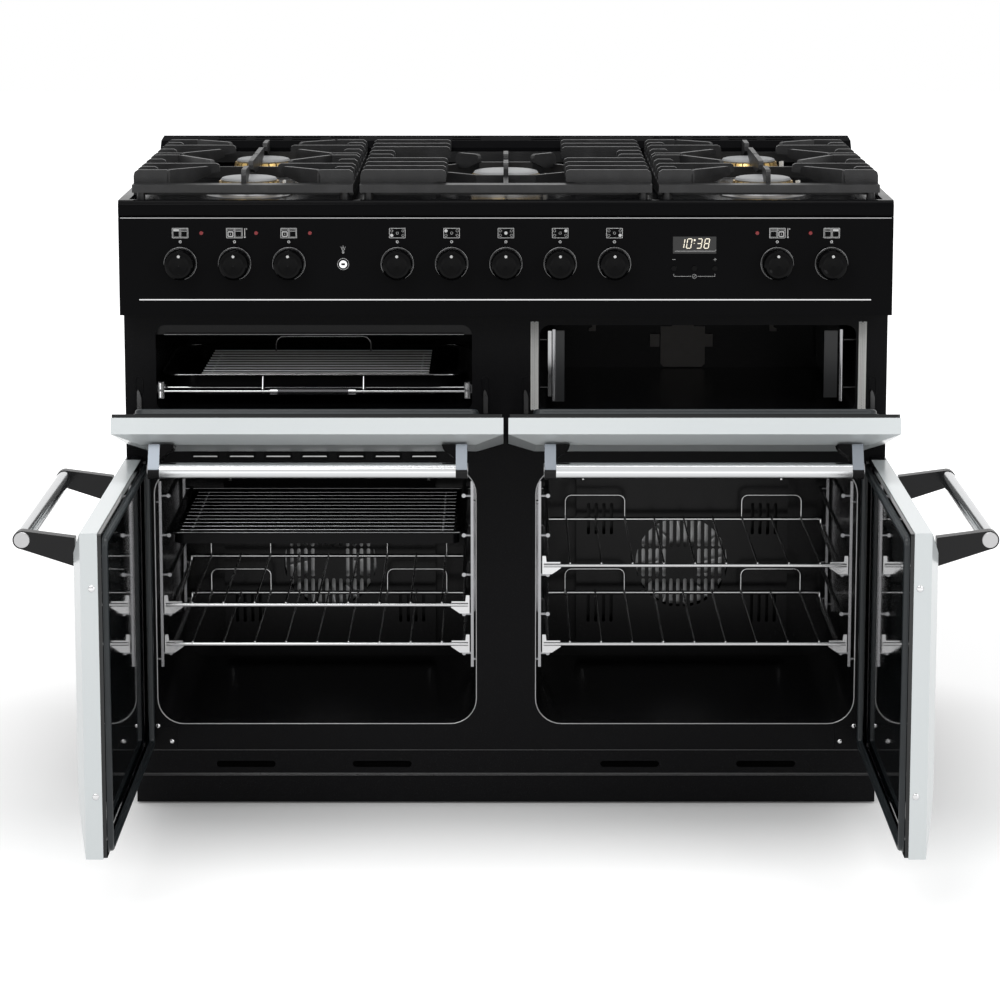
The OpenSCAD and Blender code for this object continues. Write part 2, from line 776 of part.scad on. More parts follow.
module spring_grip() {
    rings = [for (i = [0:coil_rings]) for (p = coil_ring(i)) p];
    n = coil_sides;
    last = coil_rings * n;
    sides = [for (i = [0:coil_rings - 1]) for (k = [0:n - 1]) each [
        [i * n + k, (i + 1) * n + k, i * n + (k + 1) % n],
        [i * n + (k + 1) % n, (i + 1) * n + k, (i + 1) * n + (k + 1) % n]]];
    ends = [for (k = [1:n - 2]) each [[0, k, k + 1], [last, last + k + 1, last + k]]];
    polyhedron(points = rings, faces = concat(sides, ends), convexity = 10);
}

// A straight wire between two points
module wire_between(a, b, d) {
    v = b - a;
    translate(a) rotate([0, acos(v.z / norm(v)), atan2(v.y, v.x)]) cylinder(d = d, h = norm(v), $fn = 24);
}

module grill_cradle() {
    mid_x = -cavity_x;
    core = coil_d - 2 * coil_wire - 2.4;
    arm = coil_len / 2 + 22;
    color([0.82, 0.82, 0.84]) {
        // Side rails that run in the channels, and cross wires under the pan's step
        for (s = [-1, 1]) {
            x = mid_x + s * cradle_x;
            rod_y(x, grip_y, pan_y1, cradle_z, cradle_wire);
            box(x - 4, x + 4, grip_y - 3, pan_y0 - 3, cradle_z - 10, cradle_z + 14);
        }
        for (y = [pan_y0 + 21, pan_y1 - 21]) {
            rod_x(mid_x - cradle_x, mid_x + cradle_x, y, cradle_z, cradle_wire - 0.6);
        }
        // Two arms to the front wire that carries the spring grip, and two uprights at the pan's rim
        for (s = [-1, 1]) {
            wire_between([grill_x + s * arm, pan_y0 + 21, cradle_z], [grill_x + s * arm, grip_y, grip_z],
                cradle_wire - 1.2);
            wire_between([grill_x + s * arm, grip_y, grip_z], [grill_x + s * arm, pan_y0 - 3, pan_rim_z - 2], 3);
            translate([grill_x + s * arm, grip_y, grip_z]) sphere(d = cradle_wire + 0.8, $fn = 24);
            rod_x(grill_x + s * (coil_len / 2 + 6) - 5, grill_x + s * (coil_len / 2 + 6) + 5, grip_y, grip_z, coil_d - 1);
        }
        rod_x(mid_x - cradle_x, mid_x + cradle_x, grip_y, grip_z, cradle_wire - 0.6);
        rod_x(grill_x - coil_len / 2 - 2, grill_x + coil_len / 2 + 2, grip_y, grip_z, core);
        translate([grill_x, grip_y, grip_z]) spring_grip();
    }
}

// Doors, drawn closed on the right-hand side and then turned open

module open_main_door() {
    translate([pin_x, pin_y, 0]) rotate([0, 0, door_open]) translate([-pin_x, -pin_y, 0]) children();
}

module open_flap() {
    translate([0, flap_axis_y, flap_axis_z]) rotate([flap_open, 0, 0])
        translate([0, -flap_axis_y, -flap_axis_z]) children();
}

// Pressed steel front: a bevel on all sides and a curve at the foot
module door_shell(z0, z1, bevel, foot) {
    x0 = door_gap / 2;
    steps = 10;
    intersection() {
        translate([0, 0, z0]) linear_extrude(z1 - z0) polygon([[x0, door_back], [x0, rim_y],
            [x0 + bevel, front], [door_x0 - bevel, front], [door_x0, rim_y], [door_x0, door_back]]);
        along_x(x0, door_x0) polygon(concat([[door_back, z0]],
            [for (i = [0:steps]) [rim_y - bulge * sin(90 * i / steps), z0 + foot * i / steps]],
            [[front, z1 - bevel], [rim_y, z1], [door_back, z1]]));
    }
}

// Hollow behind the pressed steel, kept clear of the hinge edge
module door_hollow(z0, z1, inset, depth) {
    hinge_edge = 24;
    box(door_gap / 2 + inset, door_x0 - max(inset, hinge_edge), front + depth, door_back + 1, z0, z1);
}

module door_glass(z0, z1) {
    inset = 1;
    x0 = door_gap / 2;
    translate([(x0 + door_x0) / 2, 0, (z0 + z1) / 2]) along_y(door_back, door_back + glass_t)
        round_rect(door_x0 - x0 - 2 * inset, z1 - z0 - 2 * inset, 3);
}

module seal_ring(x0, x1, z0, z1) {
    translate([(x0 + x1) / 2, 0, (z0 + z1) / 2]) along_y(door_back + glass_t, door_back + glass_t + seal_h) difference() {
        round_rect(x1 - x0, z1 - z0, 16);
        round_rect(x1 - x0 - 2 * seal_w, z1 - z0 - 2 * seal_w, 4);
    }
}

// Two blade arms, thick at the door and round at the bar
module handle(bar_z, reach) {
    bar_y = front - reach;
    end_r = bar_d / 2 + 1;
    for (x = arm_x) {
        along_x(x - arm_t / 2, x + arm_t / 2) {
            translate([bar_y, bar_z]) circle(end_r);
            polygon([[bar_y - 2, bar_z - end_r + 0.2], [front, bar_z - bar_rise - 18],
                [front, bar_z - bar_rise + 20], [bar_y + 2, bar_z + end_r - 0.2]]);
        }
    }
    rod_x(arm_x[0], arm_x[1], bar_y, bar_z, bar_d);
}

module main_door_panel() {
    color([0.88, 0.9, 0.9]) open_main_door() difference() {
        door_shell(door_z0, door_z1, door_bevel, foot_curve);
        door_hollow(door_z0 + 62, door_z1 - door_bevel + 4, door_bevel - 4, 6);
        door_hollow(door_z0 + 10, door_z1 - 10, 10, bulge + 3);
        rod_z(pin_x, pin_y, door_z0 - 1, door_z0 + 17, pin_d + 2 * run);
        rod_z(pin_x, pin_y, door_z1 - 22, door_z1 + 1, pin_d + 2 * run);
        main_pocket();
    }
}

// Corner pocket that the upper hinge arm turns in
module main_pocket() {
    box(pin_x - 9, door_x0 + 1, front + bulge + 1.5, door_back + glass_t + seal_h + 1, door_z1 - 5, door_z1 + 1);
}

module main_door_liner() {
    inset = 4;
    color([0.07, 0.09, 0.1]) open_main_door() {
        difference() {
            door_glass(door_z0, door_z1);
            main_pocket();
        }
        seal_ring(door_gap / 2 + inset, door_x0 - inset, door_z0 + inset, door_z1 - inset - 2);
    }
}

module main_door_handle() {
    color([0.13, 0.13, 0.14]) open_main_door() handle(door_bar_z, door_reach);
}

// Slots that the flap's hinge arms turn in
module flap_pockets() {
    reach = flap_eye + 1;
    for (x = flap_arm_x) {
        along_x(x - flap_arm_t / 2 - 1, x + flap_arm_t / 2 + 1) {
            translate([flap_axis_y, flap_axis_z]) circle(reach);
            translate([flap_axis_y - reach, flap_z0 - 1]) square([reach, flap_axis_z - flap_z0 + 1]);
            translate([flap_axis_y, flap_z0 - 1])
                square([door_t + glass_t, flap_axis_z - flap_z0 + 1 + reach]);
        }
    }
}

module flap_panel() {
    color([0.88, 0.9, 0.9]) open_flap() difference() {
        door_shell(flap_z0, flap_z1, flap_bevel, 16);
        door_hollow(flap_z0 + 30, flap_z1 - flap_bevel + 4, flap_bevel - 4, 6);
        door_hollow(flap_z0 + 30, flap_z1 - 10, 10, bulge + 3);
        flap_pockets();
        for (x = flap_arm_x) {
            rod_x(x - 10, x + 10, flap_axis_y, flap_axis_z, flap_pin_d + 2 * run);
        }
    }
}

module flap_liner() {
    x0 = cavity_x - upper_w / 2 - seal_w;
    color([0.07, 0.09, 0.1]) open_flap() {
        difference() {
            door_glass(flap_z0, flap_z1);
            flap_pockets();
        }
        seal_ring(x0, x0 + upper_w + 2 * seal_w, upper_z0 - seal_w, flap_z1 - 2);
    }
}

module flap_handle() {
    color([0.13, 0.13, 0.14]) open_flap() handle(flap_bar_z, flap_reach);
}

module right_door_panel() { main_door_panel(); }
module right_door_liner() { main_door_liner(); }
module right_door_handle() { main_door_handle(); }
module left_door_panel() { mirror([1, 0, 0]) main_door_panel(); }
module left_door_liner() { mirror([1, 0, 0]) main_door_liner(); }
module left_door_handle() { mirror([1, 0, 0]) main_door_handle(); }
module slow_door_panel() { flap_panel(); }
module slow_door_liner() { flap_liner(); }
module slow_door_handle() { flap_handle(); }
module grill_door_panel() { mirror([1, 0, 0]) flap_panel(); }
module grill_door_liner() { mirror([1, 0, 0]) flap_liner(); }
module grill_door_handle() { mirror([1, 0, 0]) flap_handle(); }

// Control panel

module control_panel() {
    color([0.02, 0.02, 0.02]) difference() {
        union() {
            box(-half_w, half_w, front, front + panel_t, panel_z0, panel_z1);
            box(-half_w, half_w, front + panel_t, frame_y, panel_z0, panel_z0 + panel_t);
            box(-half_w, half_w, front + panel_t, front + 30, panel_z1 - panel_t, panel_z1);
            both_sides() box(half_w - panel_t, half_w, front + panel_t, frame_y, panel_z0 + panel_t, panel_z1 - panel_t);
        }
        for (step = concat(gas_steps, electric_steps)) {
            rod_y(step * knob_pitch, front - 1, front + panel_t + 1, knob_z, spindle_d + 4);
        }
        for (x = lamp_x) {
            rod_y(x, front - 1, front + panel_t + 1, lamp_z, lamp_d + 2 * run);
        }
        for (x = clock_btn_x) {
            rod_y(x, front - 1, front + panel_t + 1, clock_btn_z, clock_btn_d + 2 * run);
        }
        rod_y(light_x, front - 1, front + panel_t + 1, light_z, light_btn_d + 2 * run);
        translate([clock_x, 0, clock_z]) along_y(front - 1, front + panel_t + 1)
            square([clock_w + 2 * run, clock_h + 2 * run], center = true);
    }
}

// Neon lenses, the clock's window and the switch board behind the buttons
module panel_lenses() {
    board_y = front + panel_t + btn_travel + 3;
    color([0.7, 0.05, 0.03]) for (x = lamp_x) {
        rod_y(x, front - 0.6, front + panel_t + 8, lamp_z, lamp_d);
    }
    color([0.02, 0.05, 0.06]) translate([clock_x, 0, clock_z]) {
        along_y(front, front + 4) square([clock_w, clock_h], center = true);
        along_y(front + 4, board_y) square([clock_w - 4, clock_h - 4], center = true);
    }
    color([0.05, 0.2, 0.1]) {
        box(clock_x - 40, clock_x + 40, board_y, board_y + 2, clock_btn_z - 10, clock_z + clock_h / 2);
        box(light_x - 12, light_x + 12, board_y, board_y + 12, light_z - 10, light_z + 10);
        for (dx = [-9.5, 9.5]) {
            rod_y(light_x + dx, front + panel_t, board_y + 1, light_z, 3);
        }
    }
}

module push_button(x, z, d) {
    proud = 2;
    color([0.5, 0.5, 0.52]) rod_y(x, front - proud, front + panel_t + 3 - run, z, d);
}
module light_button() { push_button(light_x, light_z, light_btn_d); }
module clock_button_minus() { push_button(clock_btn_x[0], clock_btn_z, clock_btn_d); }
module clock_button_mode() { push_button(clock_btn_x[1], clock_btn_z, clock_btn_d); }
module clock_button_plus() { push_button(clock_btn_x[2], clock_btn_z, clock_btn_d); }

// Turned knob: skirt, waist and dished front, bored for its spindle
module knob(step) {
    r = knob_d / 2;
    color([0.03, 0.03, 0.03]) translate([step * knob_pitch, front - run, knob_z]) rotate([90, 0, 0]) difference() {
        rotate_extrude($fn = 64) polygon([[0, 0], [r, 0], [r, 2.4], [r - 1, 3.4], [r - 1.4, 8],
            [r - 2.4, knob_h - 6], [r - 3.6, knob_h - 2.4], [r - 6, knob_h - 0.6], [r - 9, knob_h],
            [r - 12, knob_h - 0.8], [0, knob_h - 1.4]]);
        translate([0, 0, -1]) cylinder(d = spindle_d + 2 * run, h = knob_h - 9);
    }
}
module knob_grill() { knob(-6); }
module knob_left_temperature() { knob(-5); }
module knob_left_mode() { knob(-4); }
module knob_burner_left_front() { knob(-2); }
module knob_burner_left_rear() { knob(-1); }
module knob_burner_centre() { knob(0); }
module knob_burner_right_rear() { knob(1); }
module knob_burner_right_front() { knob(2); }
module knob_right_temperature() { knob(5); }
module knob_slow_oven() { knob(6); }

module gas_taps_and_switches() {
    rail_y = front + 36;
    rail_low = knob_z - 30;
    body_y = front + panel_t;
    color([0.75, 0.62, 0.32]) {
        rod_x(-2.6 * knob_pitch, 2.6 * knob_pitch, rail_y, rail_low, 14);
        for (step = gas_steps) {
            x = step * knob_pitch;
            rod_y(x, front - knob_h + 12, body_y + 12, knob_z, spindle_d);
            rod_y(x, body_y, front + 46, knob_z, 26);
            rod_z(x, rail_y, rail_low, knob_z, 12);
            rod_z(x, rail_y, knob_z, hob_z - nose_h - 6, 8);
        }
    }
    color([0.6, 0.6, 0.62]) for (step = electric_steps) {
        x = step * knob_pitch;
        rod_y(x, front - knob_h + 12, body_y + 1, knob_z, spindle_d);
        translate([x, 0, knob_z]) along_y(body_y, front + 40) round_rect(44, 40, 4);
    }
}

// Hob

module hob_tray() {
    rim_w = 14;
    color([0.03, 0.03, 0.03]) difference() {
        union() {
            // Front nose and side skirts
            along_x(-half_w, half_w) {
                polygon([[front + 5, panel_z1], [back, panel_z1], [back, hob_z], [front + 8, hob_z],
                    [front, hob_z - 8], [front, panel_z1 + 4]]);
                translate([front + 8, hob_z - 8]) circle(8);
                translate([front + 5, panel_z1 + 5]) circle(5);
            }
            // Flue strip along the back
            along_x(-half_w + 6, half_w - 6) polygon([[flue_y, hob_z - 1], [back, hob_z - 1],
                [back, hob_z + flue_h], [flue_y + 12, hob_z + flue_h - 4], [flue_y, hob_z + flue_h - 14]]);
        }
        // Sunken spill tray, open below apart from its sheet
        box(-half_w + rim_w, half_w - rim_w, front + rim_w + 2, flue_y - 3, tray_z, hob_z + 1);
        box(-half_w + sheet, half_w - sheet, front + sheet + 10, back - sheet, panel_z1 - 1, tray_z - sheet);
        // Hollow of the flue strip and its two rows of slots
        box(-half_w + 6 + sheet, half_w - 6 - sheet, flue_y + sheet + 8, back - sheet, tray_z - 4,
            hob_z + flue_h - 14);
        both_sides() for (x = [62, burner_x - 118, burner_x - 58, burner_x, burner_x + 58]) {
            for (y = [flue_y + 24, flue_y + 42]) {
                translate([x, y, hob_z + flue_h - 20]) linear_extrude(30) round_rect(46, 8, 3.9);
            }
        }
    }
}

function burner_places() = [[-burner_x, front + front_burner_y, cap_d], [-burner_x, front + rear_burner_y, cap_d],
    [burner_x, front + front_burner_y, cap_d], [burner_x, front + rear_burner_y, cap_d],
    [0, front + wok_burner_y, wok_cap_d]];

module burner_bases() {
    color([0.7, 0.71, 0.72]) for (b = burner_places()) {
        r = b[2] / 2;
        translate([b[0], b[1], tray_z]) rotate_extrude($fn = 64) polygon([[0, 0], [r + 22, 0],
            [r + 22, 1.5], [r + 8, 4], [r + 4, 10], [0, 10]]);
        // Spark electrode and flame sensor
        rod_z(b[0] + r + 12, b[1] - 6, tray_z, tray_z + 22, 4);
        rod_z(b[0] + r + 10, b[1] + 8, tray_z, tray_z + 20, 4);
    }
}

// Brass heads with a ring of flame ports
module burner_heads() {
    color([0.8, 0.62, 0.25]) for (b = burner_places()) {
        r = b[2] / 2;
        translate([b[0], b[1], tray_z + 10]) difference() {
            rotate_extrude($fn = 64) polygon([[0, 0], [r + 2, 0], [r + 5, 4], [r + 3, 11], [0, 11]]);
            for (i = [0:23]) {
                rotate([0, 0, i * 15]) translate([r - 4, -1, 6]) cube([14, 2, 6]);
            }
        }
    }
}

module burner_caps() {
    color([0.35, 0.35, 0.37]) for (b = burner_places()) {
        r = b[2] / 2;
        translate([b[0], b[1], tray_z + 21]) rotate_extrude($fn = 64) polygon([[0, 0], [r, 0],
            [r + 1, 2], [r - 1, 4.5], [r - 5, 5.6], [0, 6.4]]);
    }
}

// One cast rib along X: a round shoulder at its root, a flat top and a sloping underside
module rib(length, depth) {
    drop = support_z - ledge_z + 3;
    translate([0, fin_t / 2, support_z]) rotate([90, 0, 0]) linear_extrude(fin_t) {
        polygon([[0, -drop], [0, -8], [1.5, -3], [6, 0], [length - 5, 0], [length - 1, -2], [length, -6],
            [length, -depth], [length * 0.5, -drop]]);
    }
}

// Low frame of a pan support with its flat front ledge and four feet
module support_frame(w) {
    z0 = support_foot_z + 8;
    difference() {
        union() {
            box(-w / 2, w / 2, support_y0 + ledge_d - fin_t, support_y1, z0, ledge_z);
            box(-w / 2, w / 2, support_y0, support_y0 + ledge_d, ledge_z - 11, ledge_z);
        }
        box(-w / 2 + fin_t, w / 2 - fin_t, support_y0 + ledge_d, support_y1 - fin_t, z0 - 1, ledge_z + 1);
    }
    for (x = [-w / 2 + 12, w / 2 - 12]) {
        rod_z(x, support_y0 + 10, tray_z, ledge_z - 9, 12);
    }
    for (x = [-w / 2 + 7, w / 2 - 7]) {
        rod_z(x, support_y1 - 7, tray_z, z0 + 2, 12);
    }
}

// A finger: straight along X from the frame, then bent towards its burner
module finger(straight, bend, slant) {
    rib(straight + fin_t / 2, support_z - ledge_z + 3);
    translate([straight, 0, 0]) rotate([0, 0, bend]) translate([-3, 0, 0]) rib(slant + 3, 12);
}

// Side support: straight and bent fingers and short ribs from both edges, and a spine over the burners
module side_support(x) {
    w = side_support_w;
    z0 = support_foot_z + 8;
    burners = [front + front_burner_y, front + rear_burner_y];
    mid_y = (burners[0] + burners[1]) / 2;
    y0 = support_y0 + ledge_d;
    y1 = support_y1 - fin_t / 2;
    reach = w / 2 - 42;
    color([0.11, 0.11, 0.12]) translate([x, 0, 0]) {
        support_frame(w);
        both_sides() translate([-w / 2, 0, 0]) {
            translate([0, y0, 0]) finger(48, 44, 77);
            translate([0, mid_y - 16, 0]) finger(44, -56, 100);
            translate([0, mid_y + 16, 0]) finger(44, 50, 86);
            translate([0, y1, 0]) finger(48, -38, 70);
            for (b = burners) {
                translate([0, b, 0]) rib(reach, 12);
            }
            for (y = [(y0 + burners[0]) / 2, (burners[0] + mid_y - 16) / 2, (burners[1] + mid_y + 16) / 2,
                    (burners[1] + y1) / 2]) {
                translate([0, y, 0]) rib(30, 14);
            }
        }
        // Cross bar between the burners, and the spine from front to back
        box(-w / 2 + 1, w / 2 - 1, mid_y - fin_t / 2, mid_y + fin_t / 2, z0, ledge_z);
        for (s = [[y0 - 3, 1, burners[0]], [mid_y, -1, burners[0]], [mid_y, 1, burners[1]],
                [support_y1, -1, burners[1]]]) {
            translate([0, s[0], 0]) rotate([0, 0, s[1] * 90]) rib(abs(s[2] - s[0]) - 34, 12);
        }
    }
}
module left_pan_support() { side_support(-side_support_x); }
module right_pan_support() { side_support(side_support_x); }

// Centre support: long straight ribs from both edges round a low eight-sided ring
module centre_pan_support() {
    w = centre_w;
    rows = 9;
    ring = 105;
    b = front + wok_burner_y;
    y0 = support_y0 + ledge_d;
    pitch = (support_y1 - fin_t / 2 - y0) / (rows - 1);
    z0 = support_foot_z + 10;
    color([0.11, 0.11, 0.12]) {
        support_frame(w);
        both_sides() for (i = [0:rows - 1]) {
            short = i == 4 || i == 5;
            translate([-w / 2, y0 + i * pitch, 0]) rib(short ? 40 : w / 2 - ring + 20, short ? 14 : 17);
        }
        // Ring round the burner, with fingers in front, behind and at its rear corners
        translate([0, b, z0]) difference() {
            linear_extrude(ledge_z + 2 - z0) rotate(22.5) circle(r = ring + fin_t, $fn = 8);
            translate([0, 0, -1]) linear_extrude(support_z) rotate(22.5) circle(r = ring, $fn = 8);
        }
        for (a = [-135, -90, -45, 90]) {
            translate([0, b, 0]) rotate([0, 0, a]) translate([-ring + 2, 0, 0]) rib(a % 90 == 0 ? 62 : 48, 12);
        }
        for (s = [[y0 - 1, b - ring + 1], [b + ring - 1, support_y1 - 1]]) {
            box(-fin_t / 2, fin_t / 2, s[0], s[1], z0, ledge_z);
        }
        box(-w / 2 + 1, -ring + 4, b - fin_t / 2, b + fin_t / 2, z0, ledge_z);
        box(ring - 4, w / 2 - 1, b - fin_t / 2, b + fin_t / 2, z0, ledge_z);
    }
}

cabinet_shell();
rear_panel();
plinth();
levelling_feet();
front_frame();
grill_chamber();
slow_oven_chamber();
left_oven_chamber();
right_oven_chamber();
side_racks();
fan_covers();
heating_elements();
fan_motors();
hob_tray();
burner_bases();
burner_heads();
burner_caps();
left_pan_support();
centre_pan_support();
right_pan_support();
control_panel();
panel_lenses();
gas_taps_and_switches();
hinge_brackets();
left_door_panel();
left_door_liner();
left_door_handle();
right_door_panel();
right_door_liner();
right_door_handle();
grill_door_panel();
grill_door_liner();
grill_door_handle();
slow_door_panel();
slow_door_liner();
slow_door_handle();
knob_grill();
knob_left_temperature();
knob_left_mode();
knob_burner_left_front();
knob_burner_left_rear();
knob_burner_centre();
knob_burner_right_rear();
knob_burner_right_front();
knob_right_temperature();
knob_slow_oven();
light_button();
clock_button_minus();
clock_button_mode();
clock_button_plus();
left_fan();
right_fan();
left_shelf_upper();
left_shelf_lower();
right_shelf_upper();
right_shelf_lower();
baking_tin();
grill_pan();
grill_trivet();
grill_cradle();
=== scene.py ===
# %% [markdown]
# # A dual fuel range cooker
# This lesson dresses a finished CAD model of a wide cooker: the steel, enamel, glass and cast iron get their
# finishes, and the small things that a draughtsman leaves out, such as screws, printed signs and seals, are
# built as meshes. The CAD model is loaded first, and everything else is placed by measuring it.

# %% The frame
import math

import bmesh
import bpy
from mathutils import Euler, Matrix, Vector


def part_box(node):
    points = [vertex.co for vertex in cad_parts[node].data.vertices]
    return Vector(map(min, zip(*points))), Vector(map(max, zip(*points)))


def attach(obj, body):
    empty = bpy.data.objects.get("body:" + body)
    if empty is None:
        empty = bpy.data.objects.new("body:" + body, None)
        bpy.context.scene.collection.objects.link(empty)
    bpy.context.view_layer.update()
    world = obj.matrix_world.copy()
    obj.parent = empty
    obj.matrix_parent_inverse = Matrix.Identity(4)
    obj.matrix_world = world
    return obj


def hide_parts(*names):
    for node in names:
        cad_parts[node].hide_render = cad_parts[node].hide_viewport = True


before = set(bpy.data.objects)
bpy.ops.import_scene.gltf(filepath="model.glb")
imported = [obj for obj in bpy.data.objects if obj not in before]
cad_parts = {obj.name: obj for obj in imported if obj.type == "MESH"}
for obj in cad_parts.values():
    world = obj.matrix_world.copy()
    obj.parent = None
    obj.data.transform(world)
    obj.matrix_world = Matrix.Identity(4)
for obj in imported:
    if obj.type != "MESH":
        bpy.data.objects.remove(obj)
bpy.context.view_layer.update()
MM = 0.001
OVEN_X = 275 * MM  # from the middle of the cooker to the middle of each main oven

# %% [markdown]
# ## The camera
# A product photographer stands a few metres back with a long lens, so that the sides of the cooker stay
# almost parallel. The camera is a little above the hob and looks slightly down. A small shift does the
# rest, because a large one would spoil the views from other sides.

# %% The camera
CAMERA_AT = Vector((0, -5.0021, 1.3892))
CAMERA_DOWN = math.radians(9.425)
LENS = 120.82
SHIFT = (-0.0059, -0.1)

camera = bpy.data.objects.new("camera", bpy.data.cameras.new("camera"))
bpy.context.scene.collection.objects.link(camera)
camera.location = CAMERA_AT
camera.rotation_euler = (math.pi / 2 - CAMERA_DOWN, 0, 0)
camera.data.sensor_width = 36
camera.data.lens = LENS
camera.data.shift_x, camera.data.shift_y = SHIFT
camera.data.clip_end = 100
bpy.context.scene.camera = camera
print("camera", round(camera.location.y, 2), "m in front")

# %% [markdown]
# ## Shader maths
# A finish is a sum of masks and noises. Written as nodes that is a web that nobody can read, so a socket is
# wrapped in a small class that understands plus, minus and times. `Finish` then holds one material, and its
# `add` is the only way to make any other node.


# %% Shader maths
class Signal:
    """A socket that can be used in a sum."""

    def __init__(self, finish, socket):
        self.finish = finish
        self.socket = socket

    def math(self, operation, other, swapped=False):
        pair = (other, self) if swapped else (self, other)
        return self.finish.add("ShaderNodeMath", {"operation": operation}, pair)

    def __add__(self, other):
        return self.math("ADD", other)

    __radd__ = __add__

    def __mul__(self, other):
        return self.math("MULTIPLY", other)

    __rmul__ = __mul__

    def __sub__(self, other):
        return self.math("SUBTRACT", other)

    def __rsub__(self, other):
        return self.math("SUBTRACT", other, swapped=True)

    def __truediv__(self, other):
        return self.math("DIVIDE", other)

    def above(self, edge):
        return self.math("GREATER_THAN", edge)

    def below(self, edge):
        return self.math("LESS_THAN", edge)

    def size(self):
        return self.math("ABSOLUTE", 0)


class Finish:
    """One material, built on its Principled shader."""

    def __init__(self, name, colour, roughness, metallic=0.0):
        self.material = bpy.data.materials.new(name)
        self.material.use_nodes = True
        self.tree = self.material.node_tree
        self.shader = self.tree.nodes["Principled BSDF"]
        self.place = self.add("ShaderNodeTexCoord", {}, (), "Object")
        self.set("Base Color", colour)
        self.set("Roughness", roughness)
        self.set("Metallic", metallic)

    def feed(self, socket, value):
        if isinstance(value, Signal):
            self.tree.links.new(value.socket, socket)
        elif hasattr(value, "__len__") and len(value) == 3 and len(socket.default_value) == 4:
            socket.default_value = (*value, 1)
        else:
            socket.default_value = value

    def set(self, name, value):
        self.feed(self.shader.inputs[name], value)
        return self

    def add(self, kind, settings, sockets, output=0):
        node = self.tree.nodes.new(kind)
        for key, value in settings.items():
            if key == "stops":
                self.set_stops(node.color_ramp, value)
            else:
                setattr(node, key, value)
        pairs = sockets.items() if isinstance(sockets, dict) else enumerate(sockets)
        for key, value in pairs:
            self.feed(node.inputs[key], value)
        return Signal(self, node.outputs[output])

    def set_stops(self, ramp, stops):
        while len(ramp.elements) < len(stops):
            ramp.elements.new(0.5)
        for element, (position, level) in zip(ramp.elements, stops):
            element.position = position
            element.color = (level, level, level, 1)

    def axis(self, letter):
        return self.add("ShaderNodeSeparateXYZ", {}, {"Vector": self.place}, letter)

    def noise(self, scale, detail=2.0):
        return self.add("ShaderNodeTexNoise", {}, {"Vector": self.place, "Scale": scale, "Detail": detail})

    def cells(self, scale):
        return self.add("ShaderNodeTexVoronoi", {}, {"Vector": self.place, "Scale": scale})

    def flakes(self, scale):
        """A random level for each cell."""
        colour = self.add("ShaderNodeTexVoronoi", {}, {"Vector": self.place, "Scale": scale}, "Color")
        return self.add("ShaderNodeSeparateColor", {}, {"Color": colour})

    def ramp(self, value, *stops):
        return self.add("ShaderNodeValToRGB", {"stops": stops}, (value,))

    def mix(self, mask, first, second):
        sockets = {"Factor": mask, 6: first, 7: second}
        return self.add("ShaderNodeMix", {"data_type": "RGBA"}, sockets, 2)

    def bump(self, height, strength, distance):
        sockets = {"Height": height, "Strength": strength, "Distance": distance}
        return self.set("Normal", self.add("ShaderNodeBump", {}, sockets))


print("shader maths ready")

# %% [markdown]
# ## Enamel, paint and steel
# Vitreous enamel is glass melted onto steel: nearly black here, very smooth, with a faint orange peel. The
# inside of an oven has the same enamel with pale specks. The cabinet's front frame is a matt paint with a
# fine grain, and the doors are a pale grey-blue gloss paint. Each finish has its own small scale of noise,
# so that reflections break up the way they do on the real surface.


# %% Enamel, paint and steel
def gloss_enamel():
    finish = Finish("gloss_enamel", (0.003, 0.003, 0.0034), 0.16)
    peel = finish.noise(420)
    finish.bump(peel, 0.05, 0.0004)
    smears = finish.ramp(finish.noise(9, 5), (0.35, 0.12), (0.75, 0.24))
    matt = finish.axis("Z").above(0.9)
    finish.set("Roughness", smears + matt * 0.7)
    return finish.set("Specular IOR Level", 0.03).material


def oven_enamel():
    finish = Finish("oven_enamel", (0.006, 0.006, 0.007), 0.25)
    specks = finish.ramp(finish.cells(520), (0.08, 1), (0.16, 0))
    sparse = finish.ramp(finish.noise(160), (0.55, 0), (0.6, 1))
    flecks = specks * sparse
    finish.set("Base Color", finish.mix(flecks, (0.003, 0.003, 0.0035), (0.06, 0.065, 0.07)))
    finish.bump(finish.noise(300), 0.05, 0.0004)
    return finish.set("Specular IOR Level", 0.16).material


def frame_paint():
    finish = Finish("frame_paint", (0.006, 0.006, 0.0065), 0.42)
    grain = finish.noise(1500, 3)
    fleck = finish.ramp(finish.noise(800, 4), (0.58, 0), (0.7, 1))
    finish.set("Base Color", finish.mix(fleck, (0.004, 0.004, 0.0045), (0.02, 0.02, 0.021)))
    finish.set("Roughness", grain * 0.2 + 0.3)
    finish.bump(grain, 0.25, 0.0004)
    return finish.set("Specular IOR Level", 0.06).material


def door_paint():
    finish = Finish("door_paint", (0.68, 0.715, 0.72), 0.28)
    tone = finish.ramp(finish.noise(3, 3), (0.3, 0), (0.7, 1))
    finish.set("Base Color", finish.mix(tone, (0.665, 0.705, 0.715), (0.69, 0.725, 0.732)))
    finish.bump(finish.noise(700), 0.04, 0.0004)
    finish.set("Coat Weight", 0.4)
    return finish.set("Coat Roughness", 0.12).material


def zinc_steel():
    finish = Finish("zinc_steel", (0.42, 0.43, 0.44), 0.4, 0.9)
    spangle = finish.flakes(70)
    finish.set("Roughness", spangle * 0.25 + 0.3)
    return finish.set("Base Color", finish.mix(spangle, (0.36, 0.37, 0.38), (0.5, 0.51, 0.52))).material


GLOSS_ENAMEL = gloss_enamel()
OVEN_ENAMEL = oven_enamel()
FRAME_PAINT = frame_paint()
DOOR_PAINT = door_paint()
ZINC_STEEL = zinc_steel()
print("painted finishes:", GLOSS_ENAMEL.name, OVEN_ENAMEL.name, FRAME_PAINT.name, DOOR_PAINT.name)

